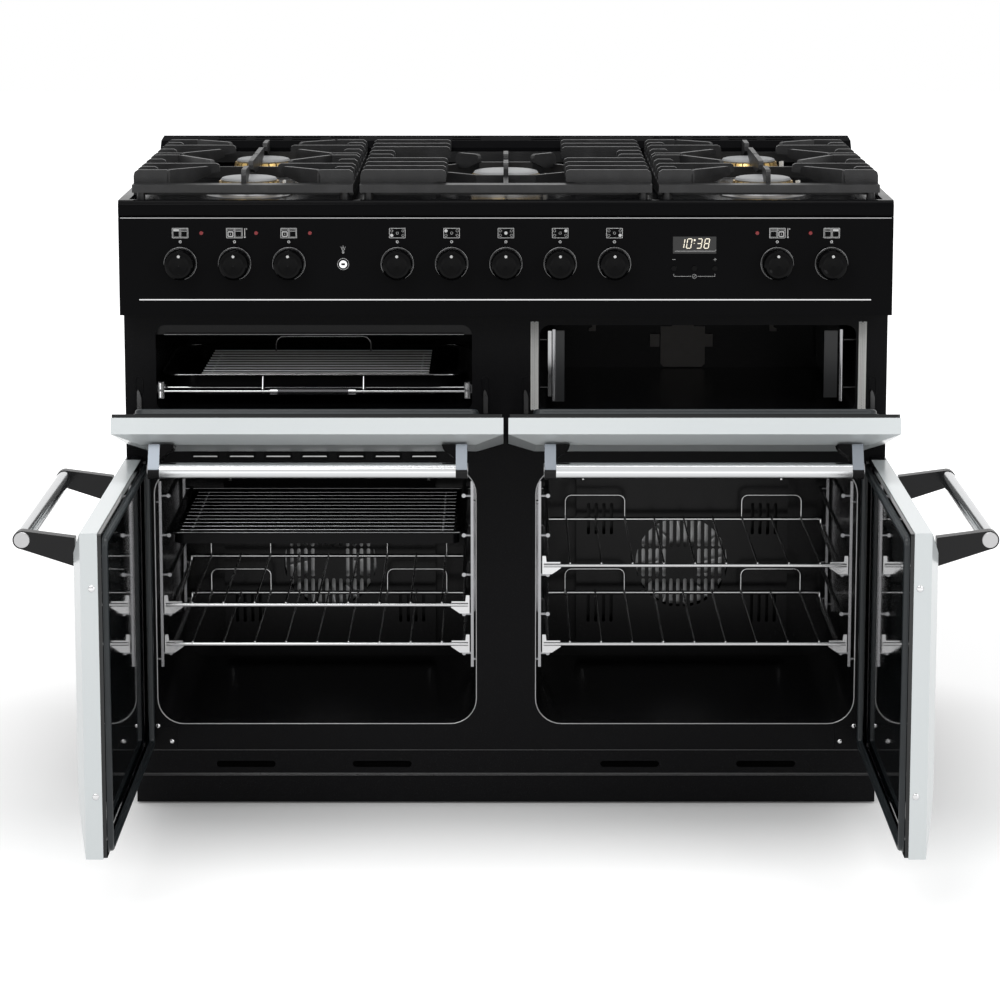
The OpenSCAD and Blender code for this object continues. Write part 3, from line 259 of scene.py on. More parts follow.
# %% [markdown]
# ## Chrome, brass, iron and glass
# Wire shelves are bright drawn steel, a little dulled. The pan supports are cast iron under a thin matt
# enamel, pebbled by the sand that they were cast in. The doors' inner sheets are dark glass with a grey
# rubber loop on it, and both are one CAD piece, which is cut in two further on.


# %% Chrome, brass, iron and glass
def bright_steel(name, tone, rough):
    finish = Finish(name, (tone, tone, tone * 1.01), rough, 1.0)
    drawn = finish.noise(90, 4)
    finish.set("Roughness", drawn * 0.16 + (rough - 0.08))
    return finish.material


def cast_iron():
    finish = Finish("cast_iron", (0.014, 0.014, 0.015), 0.5)
    sand = finish.noise(520, 6)
    finish.bump(sand, 0.35, 0.0008)
    finish.set("Roughness", finish.noise(60, 3) * 0.2 + 0.3)
    wear = finish.ramp(finish.noise(35, 5), (0.45, 0), (0.75, 1))
    finish.set("Base Color", finish.mix(wear, (0.006, 0.006, 0.0065), (0.017, 0.017, 0.018)))
    return finish.set("Specular IOR Level", 0.42).material


def brass():
    finish = Finish("brass", (0.6, 0.42, 0.16), 0.3, 1.0)
    stain = finish.ramp(finish.noise(50, 4), (0.4, 0), (0.75, 1))
    finish.set("Base Color", finish.mix(stain, (0.62, 0.44, 0.17), (0.42, 0.27, 0.1)))
    return finish.set("Roughness", stain * 0.2 + 0.24).material


def cap_enamel():
    finish = Finish("cap_enamel", (0.22, 0.225, 0.23), 0.42)
    finish.bump(finish.noise(600, 3), 0.2, 0.0004)
    tone = finish.noise(40, 4)
    return finish.set("Base Color", finish.mix(tone, (0.17, 0.175, 0.18), (0.28, 0.285, 0.29))).material


def knob_black():
    finish = Finish("knob_black", (0.002, 0.002, 0.0022), 0.14)
    finish.set("Roughness", finish.noise(60, 3) * 0.12 + 0.08)
    return finish.set("Specular IOR Level", 0.07).material


def matt_oxide(name, colour, rough):
    finish = Finish(name, colour, rough, 0.6)
    tone = finish.noise(70, 4)
    darker = tuple(0.6 * c for c in colour)
    return finish.set("Base Color", finish.mix(tone, darker, colour)).material


SHELF_CHROME = bright_steel("shelf_chrome", 0.55, 0.15)
LINK_STEEL = bright_steel("link_steel", 0.12, 0.3)
ROLLER_CHROME = bright_steel("roller_chrome", 0.8, 0.14)
KNOB_TRIM = bright_steel("knob_trim", 0.16, 0.14)
TRIM_CHROME = bright_steel("trim_chrome", 0.62, 0.14)
SATIN_STEEL = bright_steel("satin_steel", 0.42, 0.34)
FAN_STEEL = bright_steel("fan_steel", 0.3, 0.32)
CAST_IRON = cast_iron()
BRASS = brass()
CAP_ENAMEL = cap_enamel()
KNOB_BLACK = knob_black()
MOTOR_PAINT = matt_oxide("motor_paint", (0.16, 0.16, 0.17), 0.5)
HEATER_OXIDE = matt_oxide("heater_oxide", (0.1, 0.095, 0.09), 0.55)
print("metals:", SHELF_CHROME.name, CAST_IRON.name, BRASS.name)


# %% [markdown]
# ## Finishes that change with place
# Some CAD pieces are made of two things, such as a handle, whose chrome bar and black arms are one node.
# The finish then needs a mask that knows where the bar ends. Object coordinates are the same as the
# frame's, so the mask is a comparison with a measured place.


# %% Finishes that change with place
def within(finish, axis, low, high, middle=0.0):
    """1 where a point lies between two distances from the middle along an axis."""
    away = (finish.axis(axis) - middle).size()
    return away.above(low) * away.below(high)


def handle_finish(name, axis, arms, width, edge_above, edge_tone):
    """A chrome bar, arms with black paint on their flat sides and satin metal on their upper edges."""
    finish = Finish(name, (0.01, 0.01, 0.011), 0.35)
    middle = (arms[0] + arms[1]) / 2
    bar = within(finish, axis, -1, (arms[1] - arms[0] - width) / 2, middle)
    edges = [within(finish, axis, -1, width / 2 - 0.2 * MM, arm) for arm in arms]
    edge = (edges[0] + edges[1]) * finish.axis("Z").above(edge_above)
    arm = finish.mix(edge, (0.004, 0.004, 0.0045), edge_tone)
    finish.set("Base Color", finish.mix(bar, arm, (0.64, 0.65, 0.66)))
    finish.set("Metallic", bar + edge)
    finish.set("Roughness", 0.24 - bar * 0.1 + edge * 0.14 + finish.noise(80, 3) * 0.02)
    return finish.set("Specular IOR Level", 0.2).material


def dark_glass():
    finish = Finish("dark_glass", (0.002, 0.003, 0.0035), 0.05)
    haze = finish.ramp(finish.noise(12, 4), (0.4, 0.03), (0.8, 0.09))
    finish.set("Base Color", finish.mix(finish.noise(5), (0.002, 0.003, 0.0032), (0.003, 0.004, 0.0045)))
    return finish.set("Roughness", haze).set("Specular IOR Level", 0.4).material


def seal_rubber():
    finish = Finish("seal_rubber", (0.02, 0.025, 0.028), 0.35)
    grain = finish.noise(900, 3)
    finish.bump(grain, 0.12, 0.0004)
    finish.set("Base Color", finish.mix(finish.noise(40, 3), (0.009, 0.012, 0.014), (0.02, 0.025, 0.028)))
    return finish.set("Roughness", grain * 0.14 + 0.26).set("Specular IOR Level", 0.35).material


def tin_finish(low, high, trivet_z):
    """Dark enamel, and chrome on the trivet that lies in the tin."""
    finish = Finish("tin_enamel", (0.004, 0.004, 0.0045), 0.22)
    middle = (low + high) / 2
    room = (high - low) / 2 - Vector((17 * MM, 17 * MM, 0))
    wires = within(finish, "X", -1, room.x, middle.x) * within(finish, "Y", -1, room.y, middle.y)
    wires = wires * finish.axis("Z").above(trivet_z)
    finish.set("Base Color", finish.mix(wires, (0.004, 0.004, 0.0045), (0.6, 0.6, 0.61)))
    finish.set("Metallic", wires)
    return finish.set("Roughness", 0.24 - wires * 0.08).set("Specular IOR Level", 0.08).material


def rack_finish(low, high, floor_z):
    """Chrome racks; in the upper oven, the pegs behind the rack plates are coloured black."""
    finish = Finish("rack_chrome", (0.3, 0.3, 0.31), 0.2, 1.0)
    drawn = finish.noise(90, 4)
    pegs = within(finish, "X", low, high, 0.275) * finish.axis("Z").above(floor_z)
    finish.set("Base Color", finish.mix(pegs, (0.3, 0.3, 0.31), (0.006, 0.006, 0.006)))
    return finish.set("Metallic", 1 - pegs).set("Roughness", drawn * 0.14 + 0.12).material


def grip_finish(middle_x, half_length):
    """Chrome wire, and dark spring steel where the grip is wound."""
    finish = Finish("grip_chrome", (0.58, 0.58, 0.59), 0.16, 1.0)
    wound = within(finish, "X", -1, half_length, middle_x) * finish.axis("Y").below(-0.236)
    finish.set("Base Color", finish.mix(wound, (0.58, 0.58, 0.59), (0.1, 0.1, 0.105)))
    return finish.set("Roughness", wound * 0.12 + 0.15).material


def base_finish(height):
    """Cast aluminium, and the white glaze of the spark electrodes that stand up through it."""
    finish = Finish("burner_base", (0.5, 0.5, 0.51), 0.36, 1.0)
    glaze = finish.axis("Z").above(height)
    stain = finish.noise(60, 4)
    metal = finish.mix(stain, (0.2, 0.2, 0.2), (0.4, 0.4, 0.41))
    finish.set("Base Color", finish.mix(glaze, metal, (0.7, 0.69, 0.66)))
    finish.set("Metallic", 1 - glaze)
    return finish.set("Roughness", stain * 0.2 + 0.3 - glaze * 0.2).material


def lens_red():
    finish = Finish("lens_red", (0.3, 0.01, 0.008), 0.2)
    above_window = finish.axis("Z").above(0.8435)
    front = finish.axis("Y").below(-0.2952)
    dark = finish.mix(front, (0.01, 0.05, 0.02), (0.003, 0.003, 0.003))
    finish.set("Base Color", finish.mix(above_window, dark, (0.1, 0.003, 0.004)))
    finish.set("Emission Color", finish.mix(above_window, (0, 0, 0), (0.1, 0.002, 0.004)))
    return finish.set("Emission Strength", 1.0).material


ARM_WIDTH = 16 * MM
bar_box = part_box("left_door_handle")
flap_bar_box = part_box("slow_door_handle")
grill_bar_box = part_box("grill_door_handle")


def arm_middles(low, high):
    return (low + ARM_WIDTH / 2, high - ARM_WIDTH / 2)


END_RADIUS = 12 * MM
bar_level = flap_bar_box[0].z + END_RADIUS
silver = (0.2, 0.22, 0.245)
NO_EDGE = 9  # metres up, far above the cooker: the side doors' handles have no satin edge
slow_arms = arm_middles(flap_bar_box[0].x, flap_bar_box[1].x)
grill_arms = arm_middles(grill_bar_box[0].x, grill_bar_box[1].x)
door_arms = arm_middles(bar_box[0].y, bar_box[1].y)
DOOR_HANDLE = handle_finish("door_handle", "Y", door_arms, ARM_WIDTH, NO_EDGE, silver)
SLOW_HANDLE = handle_finish("slow_handle", "X", slow_arms, ARM_WIDTH, bar_level + 3 * MM, silver)
GRILL_HANDLE = handle_finish("grill_handle", "X", grill_arms, ARM_WIDTH, bar_level + 3 * MM, silver)
DARK_GLASS = dark_glass()
SEAL_RUBBER = seal_rubber()
RACK_CHROME = rack_finish(0.2105, 0.23, 0.58)
tin_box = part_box("baking_tin")
TIN_ENAMEL = tin_finish(*tin_box, tin_box[1].z - 6 * MM)
COIL_HALF = 50.6 * MM
pan_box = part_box("grill_pan")
GRIP_CHROME = grip_finish((pan_box[0].x + pan_box[1].x) / 2, COIL_HALF)
LENS_RED = lens_red()
BURNER_BASE = base_finish(0.8975)
BUTTON_STEEL = bright_steel("button_steel", 0.9, 0.3)
print("finishes by place:", DOOR_HANDLE.name, TIN_ENAMEL.name, LENS_RED.name)

# %% [markdown]
# ## Paint the CAD pieces
# Every CAD node keeps its mesh and gets a new material in its slot.

# %% Paint the CAD pieces
DOORS = ("left", "right", "grill", "slow")
KNOBS = [name for name in sorted(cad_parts) if name.startswith("knob_")]
BUTTONS = [name for name in sorted(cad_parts) if "button" in name]
PAINT = {
    "cabinet_shell": FRAME_PAINT,
    "rear_panel": ZINC_STEEL,
    "plinth": FRAME_PAINT,
    "levelling_feet": ZINC_STEEL,
    "front_frame": FRAME_PAINT,
    "grill_chamber": OVEN_ENAMEL,
    "slow_oven_chamber": OVEN_ENAMEL,
    "left_oven_chamber": OVEN_ENAMEL,
    "right_oven_chamber": OVEN_ENAMEL,
    "side_racks": RACK_CHROME,
    "fan_covers": OVEN_ENAMEL,
    "heating_elements": HEATER_OXIDE,
    "fan_motors": MOTOR_PAINT,
    "hob_tray": GLOSS_ENAMEL,
    "burner_bases": BURNER_BASE,
    "burner_heads": BRASS,
    "burner_caps": CAP_ENAMEL,
    "left_pan_support": CAST_IRON,
    "centre_pan_support": CAST_IRON,
    "right_pan_support": CAST_IRON,
    "control_panel": GLOSS_ENAMEL,
    "panel_lenses": LENS_RED,
    "gas_taps_and_switches": BRASS,
    "hinge_brackets": FRAME_PAINT,
    "left_fan": FAN_STEEL,
    "right_fan": FAN_STEEL,
    "left_shelf_upper": SHELF_CHROME,
    "left_shelf_lower": SHELF_CHROME,
    "right_shelf_upper": SHELF_CHROME,
    "right_shelf_lower": SHELF_CHROME,
    "baking_tin": TIN_ENAMEL,
    "grill_pan": GLOSS_ENAMEL,
    "grill_trivet": SHELF_CHROME,
    "grill_cradle": GRIP_CHROME,
}
PAINT.update({name: KNOB_BLACK for name in KNOBS + BUTTONS})
PAINT["light_button"] = BUTTON_STEEL
HANDLES = {"left": DOOR_HANDLE, "right": DOOR_HANDLE, "grill": GRILL_HANDLE, "slow": SLOW_HANDLE}
for door in DOORS:
    PAINT[door + "_door_panel"] = DOOR_PAINT
    PAINT[door + "_door_liner"] = DARK_GLASS
    PAINT[door + "_door_handle"] = HANDLES[door]
for name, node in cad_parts.items():
    node.data.materials.clear()
    node.data.materials.append(PAINT[name])
print("painted", len(PAINT), "of", len(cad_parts), "pieces")

# %% [markdown]
# ## Keeping a new piece
# A finished piece is a plain mesh that rides on one CAD body. Its object stays at the origin.


# %% Keeping a new piece
def keep(piece, body):
    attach(piece, body)
    print(piece.name, "rides on", body, "with", len(piece.data.polygons), "faces")
    return piece


def mesh_object(name, mesh, material, smooth=False):
    mesh.materials.clear()
    mesh.materials.append(material)
    mesh.polygons.foreach_set("use_smooth", [smooth] * len(mesh.polygons))
    piece = bpy.data.objects.new(name, mesh)
    bpy.context.scene.collection.objects.link(piece)
    return piece


def mesh_of(shape, name):
    """The plain mesh of a bmesh, which is freed."""
    mesh = bpy.data.meshes.new(name)
    shape.to_mesh(mesh)
    shape.free()
    return mesh


def prism(outline, y, thickness):
    """A bmesh with the given outline in X and Z, whose back lies at y."""
    shape = bmesh.new()
    back = [shape.verts.new((a, y, z)) for a, z in outline]
    front = [shape.verts.new((a, y - thickness, z)) for a, z in outline]
    shape.faces.new(back)
    shape.faces.new(front[::-1])
    for i, corner in enumerate(back):
        j = (i + 1) % len(back)
        shape.faces.new((corner, front[i], front[j], back[j]))
    bmesh.ops.recalc_face_normals(shape, faces=shape.faces)
    return shape


def flat_piece(name, outline, y, thickness, material):
    """A sheet of that kind as an object."""
    return mesh_object(name, mesh_of(prism(outline, y, thickness), name), material)


# %% [markdown]
# ## Signs on the panel
# The panel's signs are printed ink. Each sign is drawn with three strokes, a bar, a ring and a disc, as
# prisms a tenth of a millimetre thick that stand on the panel. The electric knobs show a plan of the four
# ovens, the gas knobs a plan of the five burners, and the filled one is theirs.


# %% Strokes of ink
panel_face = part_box("control_panel")[0].y
INK = 0.12 * MM


class Print:
    """Ink on the control panel, drawn in X and Z."""

    def __init__(self):
        self.mesh = bmesh.new()

    def prism(self, outline):
        front = [self.mesh.verts.new((x, panel_face - INK, z)) for x, z in outline]
        back = [self.mesh.verts.new((x, panel_face, z)) for x, z in outline]
        self.mesh.faces.new(front)
        self.mesh.faces.new(back[::-1])
        for i, corner in enumerate(front):
            following = (i + 1) % len(front)
            self.mesh.faces.new((corner, back[i], back[following], front[following]))

    def bar(self, start, end, width):
        start, end = Vector(start), Vector(end)
        side = (end - start).normalized().orthogonal() * width / 2
        self.prism([start - side, end - side, end + side, start + side])

    def disc(self, centre, radius, sides=16):
        turn = [2 * math.pi * i / sides for i in range(sides)]
        self.prism([(centre[0] + radius * math.cos(a), centre[1] + radius * math.sin(a)) for a in turn])

    def ring(self, centre, radius, width, sides=16):
        turn = [2 * math.pi * i / sides for i in range(sides + 1)]
        spots = [Vector((centre[0] + radius * math.cos(a), centre[1] + radius * math.sin(a))) for a in turn]
        for first, second in zip(spots, spots[1:]):
            self.bar(first, second, width)

    def frame(self, low, high, width):
        corners = [low, (high[0], low[1]), high, (low[0], high[1])]
        for i, corner in enumerate(corners):
            self.bar(corner, corners[(i + 1) % 4], width)

    def piece(self, name, material):
        bmesh.ops.recalc_face_normals(self.mesh, faces=self.mesh.faces)
        return mesh_object(name, mesh_of(self.mesh, name), material)


def ink(name, tone):
    finish = Finish(name, (tone, tone, tone), 0.5)
    worn = finish.noise(900, 3)
    low = (tone * 0.86,) * 3
    return finish.set("Base Color", finish.mix(worn, low, (tone, tone, tone))).material


INK_WHITE = ink("ink_white", 0.62)
print("ink stands", INK / MM, "mm proud of the panel")

# %% The signs
SIGN_UP = 43 * MM
MARK_UP = 30.6 * MM
SIGN_WIDE = 22.2 * MM
SIGN_HIGH = 13.6 * MM
LINE = 0.6 * MM


def centre_of(name):
    low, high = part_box(name)
    return (low + high) / 2


def oven_sign(ink, x, z, filled, thermometer):
    half_w, half_h = SIGN_WIDE / 2, SIGN_HIGH / 2
    ink.frame((x - half_w, z - half_h), (x + half_w, z + half_h), LINE)
    ink.bar((x, z - half_h), (x, z + half_h), LINE)
    split = z + 0.18 * SIGN_HIGH
    gap = 1.3 * MM
    for side in (-1, 1):
        left, right = sorted((x + side * gap, x + side * (half_w - gap)))
        for top, low, high in ((True, split + gap / 2, z + half_h - gap), (False, z - half_h + gap, split)):
            if (side, top) == filled and top:
                ink.bar((left, (low + high) / 2), (right, (low + high) / 2), high - low)
            elif (side, top) == filled:
                inset = 0.8 * MM
                ink.frame((left + inset, low + inset), (right - inset, high - inset), 1.2 * MM)
                ink.disc(((left + right) / 2, (low + high) / 2), 0.7 * MM, 8)
            else:
                ink.frame((left, low), (right, high), 0.35 * MM)
    if thermometer:
        pole = x + half_w + 3.5 * MM
        ink.bar((pole, z - half_h + 1 * MM), (pole, z + half_h), 0.9 * MM)
        ink.disc((pole, z - half_h + 1.2 * MM), 1.3 * MM)
        ink.ring((pole + 2.4 * MM, z + half_h - 1 * MM), 0.8 * MM, 0.4 * MM)


def burner_sign(ink, x, z, lit):
    half_w, half_h = SIGN_WIDE / 2, SIGN_HIGH / 2
    ink.frame((x - half_w, z - half_h), (x + half_w, z + half_h), LINE)
    for spot in ((-1, -1), (-1, 1), (0, 0), (1, 1), (1, -1)):
        centre = (x + spot[0] * 7.9 * MM, z + spot[1] * 3.2 * MM)
        if spot == lit:
            ink.disc(centre, 2.3 * MM)
        else:
            ink.ring(centre, 1.7 * MM, 0.35 * MM)


OVEN_SIGNS = {
    "knob_grill": ((-1, True), False),
    "knob_left_temperature": ((-1, False), True),
    "knob_left_mode": ((-1, False), False),
    "knob_right_temperature": ((1, False), True),
    "knob_slow_oven": ((1, True), False),
}
BURNER_SIGNS = {
    "knob_burner_left_front": (-1, -1),
    "knob_burner_left_rear": (-1, 1),
    "knob_burner_centre": (0, 0),
    "knob_burner_right_rear": (1, 1),
    "knob_burner_right_front": (1, -1),
}
signs = Print()
for name in KNOBS:
    at = centre_of(name)
    signs.ring((at.x, at.z + MARK_UP), 1.5 * MM, 1.1 * MM, 16)
    if name in OVEN_SIGNS:
        oven_sign(signs, at.x, at.z + SIGN_UP, *OVEN_SIGNS[name])
    else:
        burner_sign(signs, at.x, at.z + SIGN_UP, BURNER_SIGNS[name])
lamp = centre_of("light_button")
signs.ring((lamp.x, lamp.z), 8.0 * MM, 0.5 * MM, 24)
bulb = (lamp.x, lamp.z + 20.5 * MM)
signs.ring((bulb[0], bulb[1] + 1 * MM), 1.9 * MM, 0.6 * MM, 12)
signs.bar((bulb[0] - 1 * MM, bulb[1] - 2 * MM), (bulb[0] - 1 * MM, bulb[1] - 5 * MM), 0.6 * MM)
signs.bar((bulb[0] + 1 * MM, bulb[1] - 2 * MM), (bulb[0] + 1 * MM, bulb[1] - 5 * MM), 0.6 * MM)
signs.bar((bulb[0] - 1 * MM, bulb[1] - 5 * MM), (bulb[0] + 1 * MM, bulb[1] - 5 * MM), 0.6 * MM)
for ray in (-50, 0, 50):
    tip = Vector((math.sin(math.radians(ray)), math.cos(math.radians(ray))))
    base = Vector((bulb[0], bulb[1] + 1 * MM))
    signs.bar(base + tip * 3 * MM, base + tip * 4.6 * MM, 0.5 * MM)
keep(signs.piece("panel_signs", INK_WHITE), "cabinet")


def mark_and_painted_shade_black():
    """A black that reflects nothing, for the button's printed mark and for the painted shade behind the
    plinth.
    """
    finish = Finish("mark_and_painted_shade_black", (0.01, 0.01, 0.01), 0.4)
    finish.set("Base Color", finish.mix(finish.noise(80), (0.001, 0.001, 0.001), (0.003, 0.003, 0.003)))
    return finish.set("Specular IOR Level", 0.0).material


button_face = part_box("light_button")[0].y
mark_x, mark_z = 2.6 * MM, 1.4 * MM
mark = [(lamp.x - mark_x, lamp.z - mark_z), (lamp.x + mark_x, lamp.z - mark_z)]
mark += [(lamp.x + mark_x, lamp.z + mark_z), (lamp.x - mark_x, lamp.z + mark_z)]
MARK_AND_PAINTED_SHADE_BLACK = mark_and_painted_shade_black()
mark_piece = flat_piece("light_button_mark", mark, button_face, 0.15 * MM, MARK_AND_PAINTED_SHADE_BLACK)
keep(mark_piece, "light_button_body")

# %% [markdown]
# ## The clock
# A clock of this kind has four digits of seven bars each, a little slanted. Which bars are on for a digit is
# the usual table of seven letters, a to g.

# %% The clock
DIGIT_BARS = {"0": "abcdef", "1": "bc", "3": "abcdg", "8": "abcdefg"}
DIGIT_WIDE = 6.2 * MM
DIGIT_HIGH = 13.4 * MM
DIGIT_AT = (-17.6 * MM, -7.6 * MM, 6.8 * MM, 17.2 * MM)
SLANT = 0.16
minus = centre_of("clock_button_minus")
plus = centre_of("clock_button_plus")
clock = Vector(((minus.x + plus.x) / 2, 0, minus.z + 35.2 * MM))


def digit(ink, x, z, figure):
    half, rise = DIGIT_WIDE / 2, DIGIT_HIGH / 2
    ends = {
        "a": ((-half, rise), (half, rise)),
        "b": ((half, rise), (half, 0)),
        "c": ((half, 0), (half, -rise)),
        "d": ((-half, -rise), (half, -rise)),
        "e": ((-half, 0), (-half, -rise)),
        "f": ((-half, rise), (-half, 0)),
        "g": ((-half, 0), (half, 0)),
    }
    for letter in DIGIT_BARS[figure]:
        spots = [Vector((x + u + SLANT * w, z + w)) for u, w in ends[letter]]
        inset = (spots[1] - spots[0]).normalized() * 0.5 * MM
        ink.bar(spots[0] + inset, spots[1] - inset, 1.2 * MM)


def clock_light():
    finish = Finish("clock_light", (0.7, 0.66, 0.55), 0.4)
    finish.set("Emission Color", finish.mix(finish.noise(400), (0.5, 0.46, 0.36), (0.56, 0.52, 0.42)))
    return finish.set("Emission Strength", 1.0).material


shown = Print()
for place, figure in zip(DIGIT_AT, "1038"):
    digit(shown, clock.x + place, clock.z, figure)
shown.disc((clock.x, clock.z + 4.8 * MM), 1.5 * MM, 10)
shown.disc((clock.x - 0.6 * MM, clock.z + 0.4 * MM), 0.7 * MM, 8)
keep(shown.piece("clock_digits", clock_light()), "cabinet")

marks = Print()
mark_z = minus.z + 12.5 * MM
marks.bar((minus.x - 2.2 * MM, mark_z), (minus.x + 2.2 * MM, mark_z), 0.7 * MM)
marks.bar((plus.x - 2.2 * MM, mark_z), (plus.x + 2.2 * MM, mark_z), 0.7 * MM)
marks.bar((plus.x, mark_z - 2.2 * MM), (plus.x, mark_z + 2.2 * MM), 0.7 * MM)
under_z = minus.z + 24.4 * MM
marks.bar((minus.x + 1 * MM, under_z), (plus.x, under_z), 0.9 * MM)
marks.bar((plus.x, under_z), (plus.x + 1.4 * MM, under_z + 2 * MM), 0.7 * MM)
bracket_z = minus.z - 11.4 * MM
for side, end in ((-1, minus.x), (1, plus.x)):
    marks.bar((end, bracket_z), (clock.x + side * 4.5 * MM, bracket_z), 0.6 * MM)
    marks.bar((end, bracket_z), (end, bracket_z + 3.5 * MM), 0.6 * MM)
marks.ring((clock.x, bracket_z), 2.9 * MM, 0.6 * MM)
marks.bar((clock.x - 1.2 * MM, bracket_z - 1.2 * MM), (clock.x + 1.4 * MM, bracket_z + 1.4 * MM), 0.6 * MM)
keep(marks.piece("clock_marks", ink("ink_grey", 0.35)), "cabinet")

# %% [markdown]
# ## The chrome line
# A thin line of bright metal runs along the foot of the panel.

# %% The chrome line
LINE_ENDS = (-518 * MM, 516 * MM)
LINE_UP = 22.3 * MM
panel_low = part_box("control_panel")[0].z
trim = Print()
trim.bar((LINE_ENDS[0], panel_low + LINE_UP), (LINE_ENDS[1], panel_low + LINE_UP), 1.6 * MM)
keep(trim.piece("panel_line", TRIM_CHROME), "cabinet")
# a satin steel strip under the panel's top edge: a painted highlight along that edge
edge = Print()
panel_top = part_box("control_panel")[1].z
EDGE_ENDS = (-543 * MM, 543 * MM)
edge.bar((EDGE_ENDS[0], panel_top - 0.7 * MM), (EDGE_ENDS[1], panel_top - 0.7 * MM), 1.1 * MM)
keep(edge.piece("panel_edge_highlight", SATIN_STEEL), "cabinet")

# %% [markdown]
# ## Geometry Nodes by script
# What repeats, or follows a path, is grown by a node tree. `Growth` builds one, with named inputs for its
# sizes, and `grow` hangs it on an object, sets the inputs by their identifiers and keeps the result as a
# plain mesh.


# %% Geometry Nodes by script
class Growth:
    """A geometry node tree under construction."""

    def __init__(self, name):
        self.tree = bpy.data.node_groups.new(name, "GeometryNodeTree")
        self.tree.interface.new_socket("Geometry", in_out="INPUT", socket_type="NodeSocketGeometry")
        self.tree.interface.new_socket("Geometry", in_out="OUTPUT", socket_type="NodeSocketGeometry")
        self.start = self.tree.nodes.new("NodeGroupInput")

    def size(self, name, kind="Float"):
        self.tree.interface.new_socket(name, in_out="INPUT", socket_type="NodeSocket" + kind)
        return self.start.outputs[name]

    def add(self, kind, settings, sockets, output=0):
        node = self.tree.nodes.new(kind)
        for key, value in settings.items():
            setattr(node, key, value)
        for key, value in sockets.items():
            if isinstance(value, bpy.types.NodeSocket):
                self.tree.links.new(value, node.inputs[key])
            else:
                node.inputs[key].default_value = value
        return node.outputs[output]

    def finish(self, geometry, material):
        whole = self.add("GeometryNodeRealizeInstances", {}, {"Geometry": geometry})
        coated = self.add("GeometryNodeSetMaterial", {}, {"Geometry": whole})
        coated.node.inputs["Material"].default_value = material
        end = self.tree.nodes.new("NodeGroupOutput")
        self.tree.links.new(coated, end.inputs[0])
        return self.tree


def grow(name, tree, sizes, points=(), edges=()):
    """The mesh that the tree makes from loose points or a wire, turned into a plain object."""
    seed = bpy.data.meshes.new(name + "_seed")
    seed.from_pydata(points, edges, [])
    holder = bpy.data.objects.new(name, seed)
    bpy.context.scene.collection.objects.link(holder)
    modifier = holder.modifiers.new("grow", "NODES")
    modifier.node_group = tree
    for item in tree.interface.items_tree:
        if item.in_out == "INPUT" and item.name in sizes:
            modifier[item.identifier] = sizes[item.name]
    evaluated = holder.evaluated_get(bpy.context.evaluated_depsgraph_get())
    mesh = bpy.data.meshes.new_from_object(evaluated)
    holder.modifiers.clear()
    holder.data = mesh
    bpy.data.meshes.remove(seed)
    return holder


print("geometry nodes ready")

# %% [markdown]
# ## Screws
# Pan-head screws hold the door fronts, the hinge plates, the fan covers and the rear panel. One head is a low
# dome with a cross in it. The tree puts a head on each point of a small cloud and turns it to face outwards.


# %% Screws
def screw_tree(material):
    growth = Growth("screws")
    radius = growth.size("Radius")
    height = growth.size("Height")
    facing = growth.size("Facing", "Rotation")
    head = growth.add("GeometryNodeMeshUVSphere", {}, {"Segments": 20, "Rings": 12, "Radius": radius})
    flat = growth.add("ShaderNodeCombineXYZ", {}, {"X": 1.0, "Y": 1.0, "Z": height})
    dome = growth.add("GeometryNodeTransform", {}, {"Geometry": head, "Scale": flat})
    slot = growth.add("ShaderNodeCombineXYZ", {}, {"X": radius, "Y": 0.0006, "Z": 0.0012})
    first = growth.add("GeometryNodeMeshCube", {}, {"Size": slot})
    across = growth.add("GeometryNodeTransform", {}, {"Geometry": first, "Rotation": (0, 0, math.pi / 2)})
    cross = growth.add("GeometryNodeJoinGeometry", {}, {"Geometry": first})
    growth.tree.links.new(across, cross.node.inputs[0])
    lift = growth.add("ShaderNodeMath", {"operation": "MULTIPLY"}, {0: radius, 1: height})
    raised = growth.add("ShaderNodeCombineXYZ", {}, {"Z": lift})
    cutter = growth.add("GeometryNodeTransform", {}, {"Geometry": cross, "Translation": raised})
    meshes = {"Mesh 1": dome, "Mesh 2": cutter}
    cut = growth.add("GeometryNodeMeshBoolean", {"operation": "DIFFERENCE"}, meshes)
    sockets = {"Points": growth.start.outputs["Geometry"], "Instance": cut, "Rotation": facing}
    placed = growth.add("GeometryNodeInstanceOnPoints", {}, sockets)
    return growth.finish(placed, material)


SCREW_TREE = screw_tree(TRIM_CHROME)
TOWARDS_FRONT = Euler((math.pi / 2, 0, 0))


def screws(name, body, points, radius, facing=TOWARDS_FRONT):
    sizes = {"Radius": radius, "Height": 0.45, "Facing": tuple(facing)}
    return keep(grow(name, SCREW_TREE, sizes, points), body)


for side, sign in (("left", -1), ("right", 1)):
    low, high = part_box(side + "_door_panel")
    edge_x = (high.x if side == "left" else low.x) + sign * 8 * MM
    screws(side + "_door_screws", side + "_door", [(edge_x, low.y, z) for z in (0.1715, 0.447)], 4.6 * MM)
frame_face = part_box("front_frame")[0].y
plate_x = [487.3 * MM, 519.4 * MM]
plate_points = [(s * x, frame_face, 95.2 * MM) for s in (-1, 1) for x in plate_x]
plate_points += [(s * 507.4 * MM, frame_face, 118.4 * MM) for s in (-1, 1)]
screws("hinge_screws", "cabinet", plate_points, 3.3 * MM)
cover_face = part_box("fan_covers")[0].y
cover_points = [
    (s * OVEN_X + dx * MM, cover_face, z * MM) for s in (-1, 1) for dx in (-155, 155) for z in (145, 411)
]
screws("cover_screws", "cabinet", cover_points, 3.5 * MM)
rear_low, rear_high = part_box("rear_panel")
rear_x = [s * x * MM for s in (-1, 1) for x in (40, 180, 320, 460)]
rear_points = [(x, rear_high.y, z) for x in rear_x for z in (rear_low.z + 12 * MM, rear_high.z - 12 * MM)]
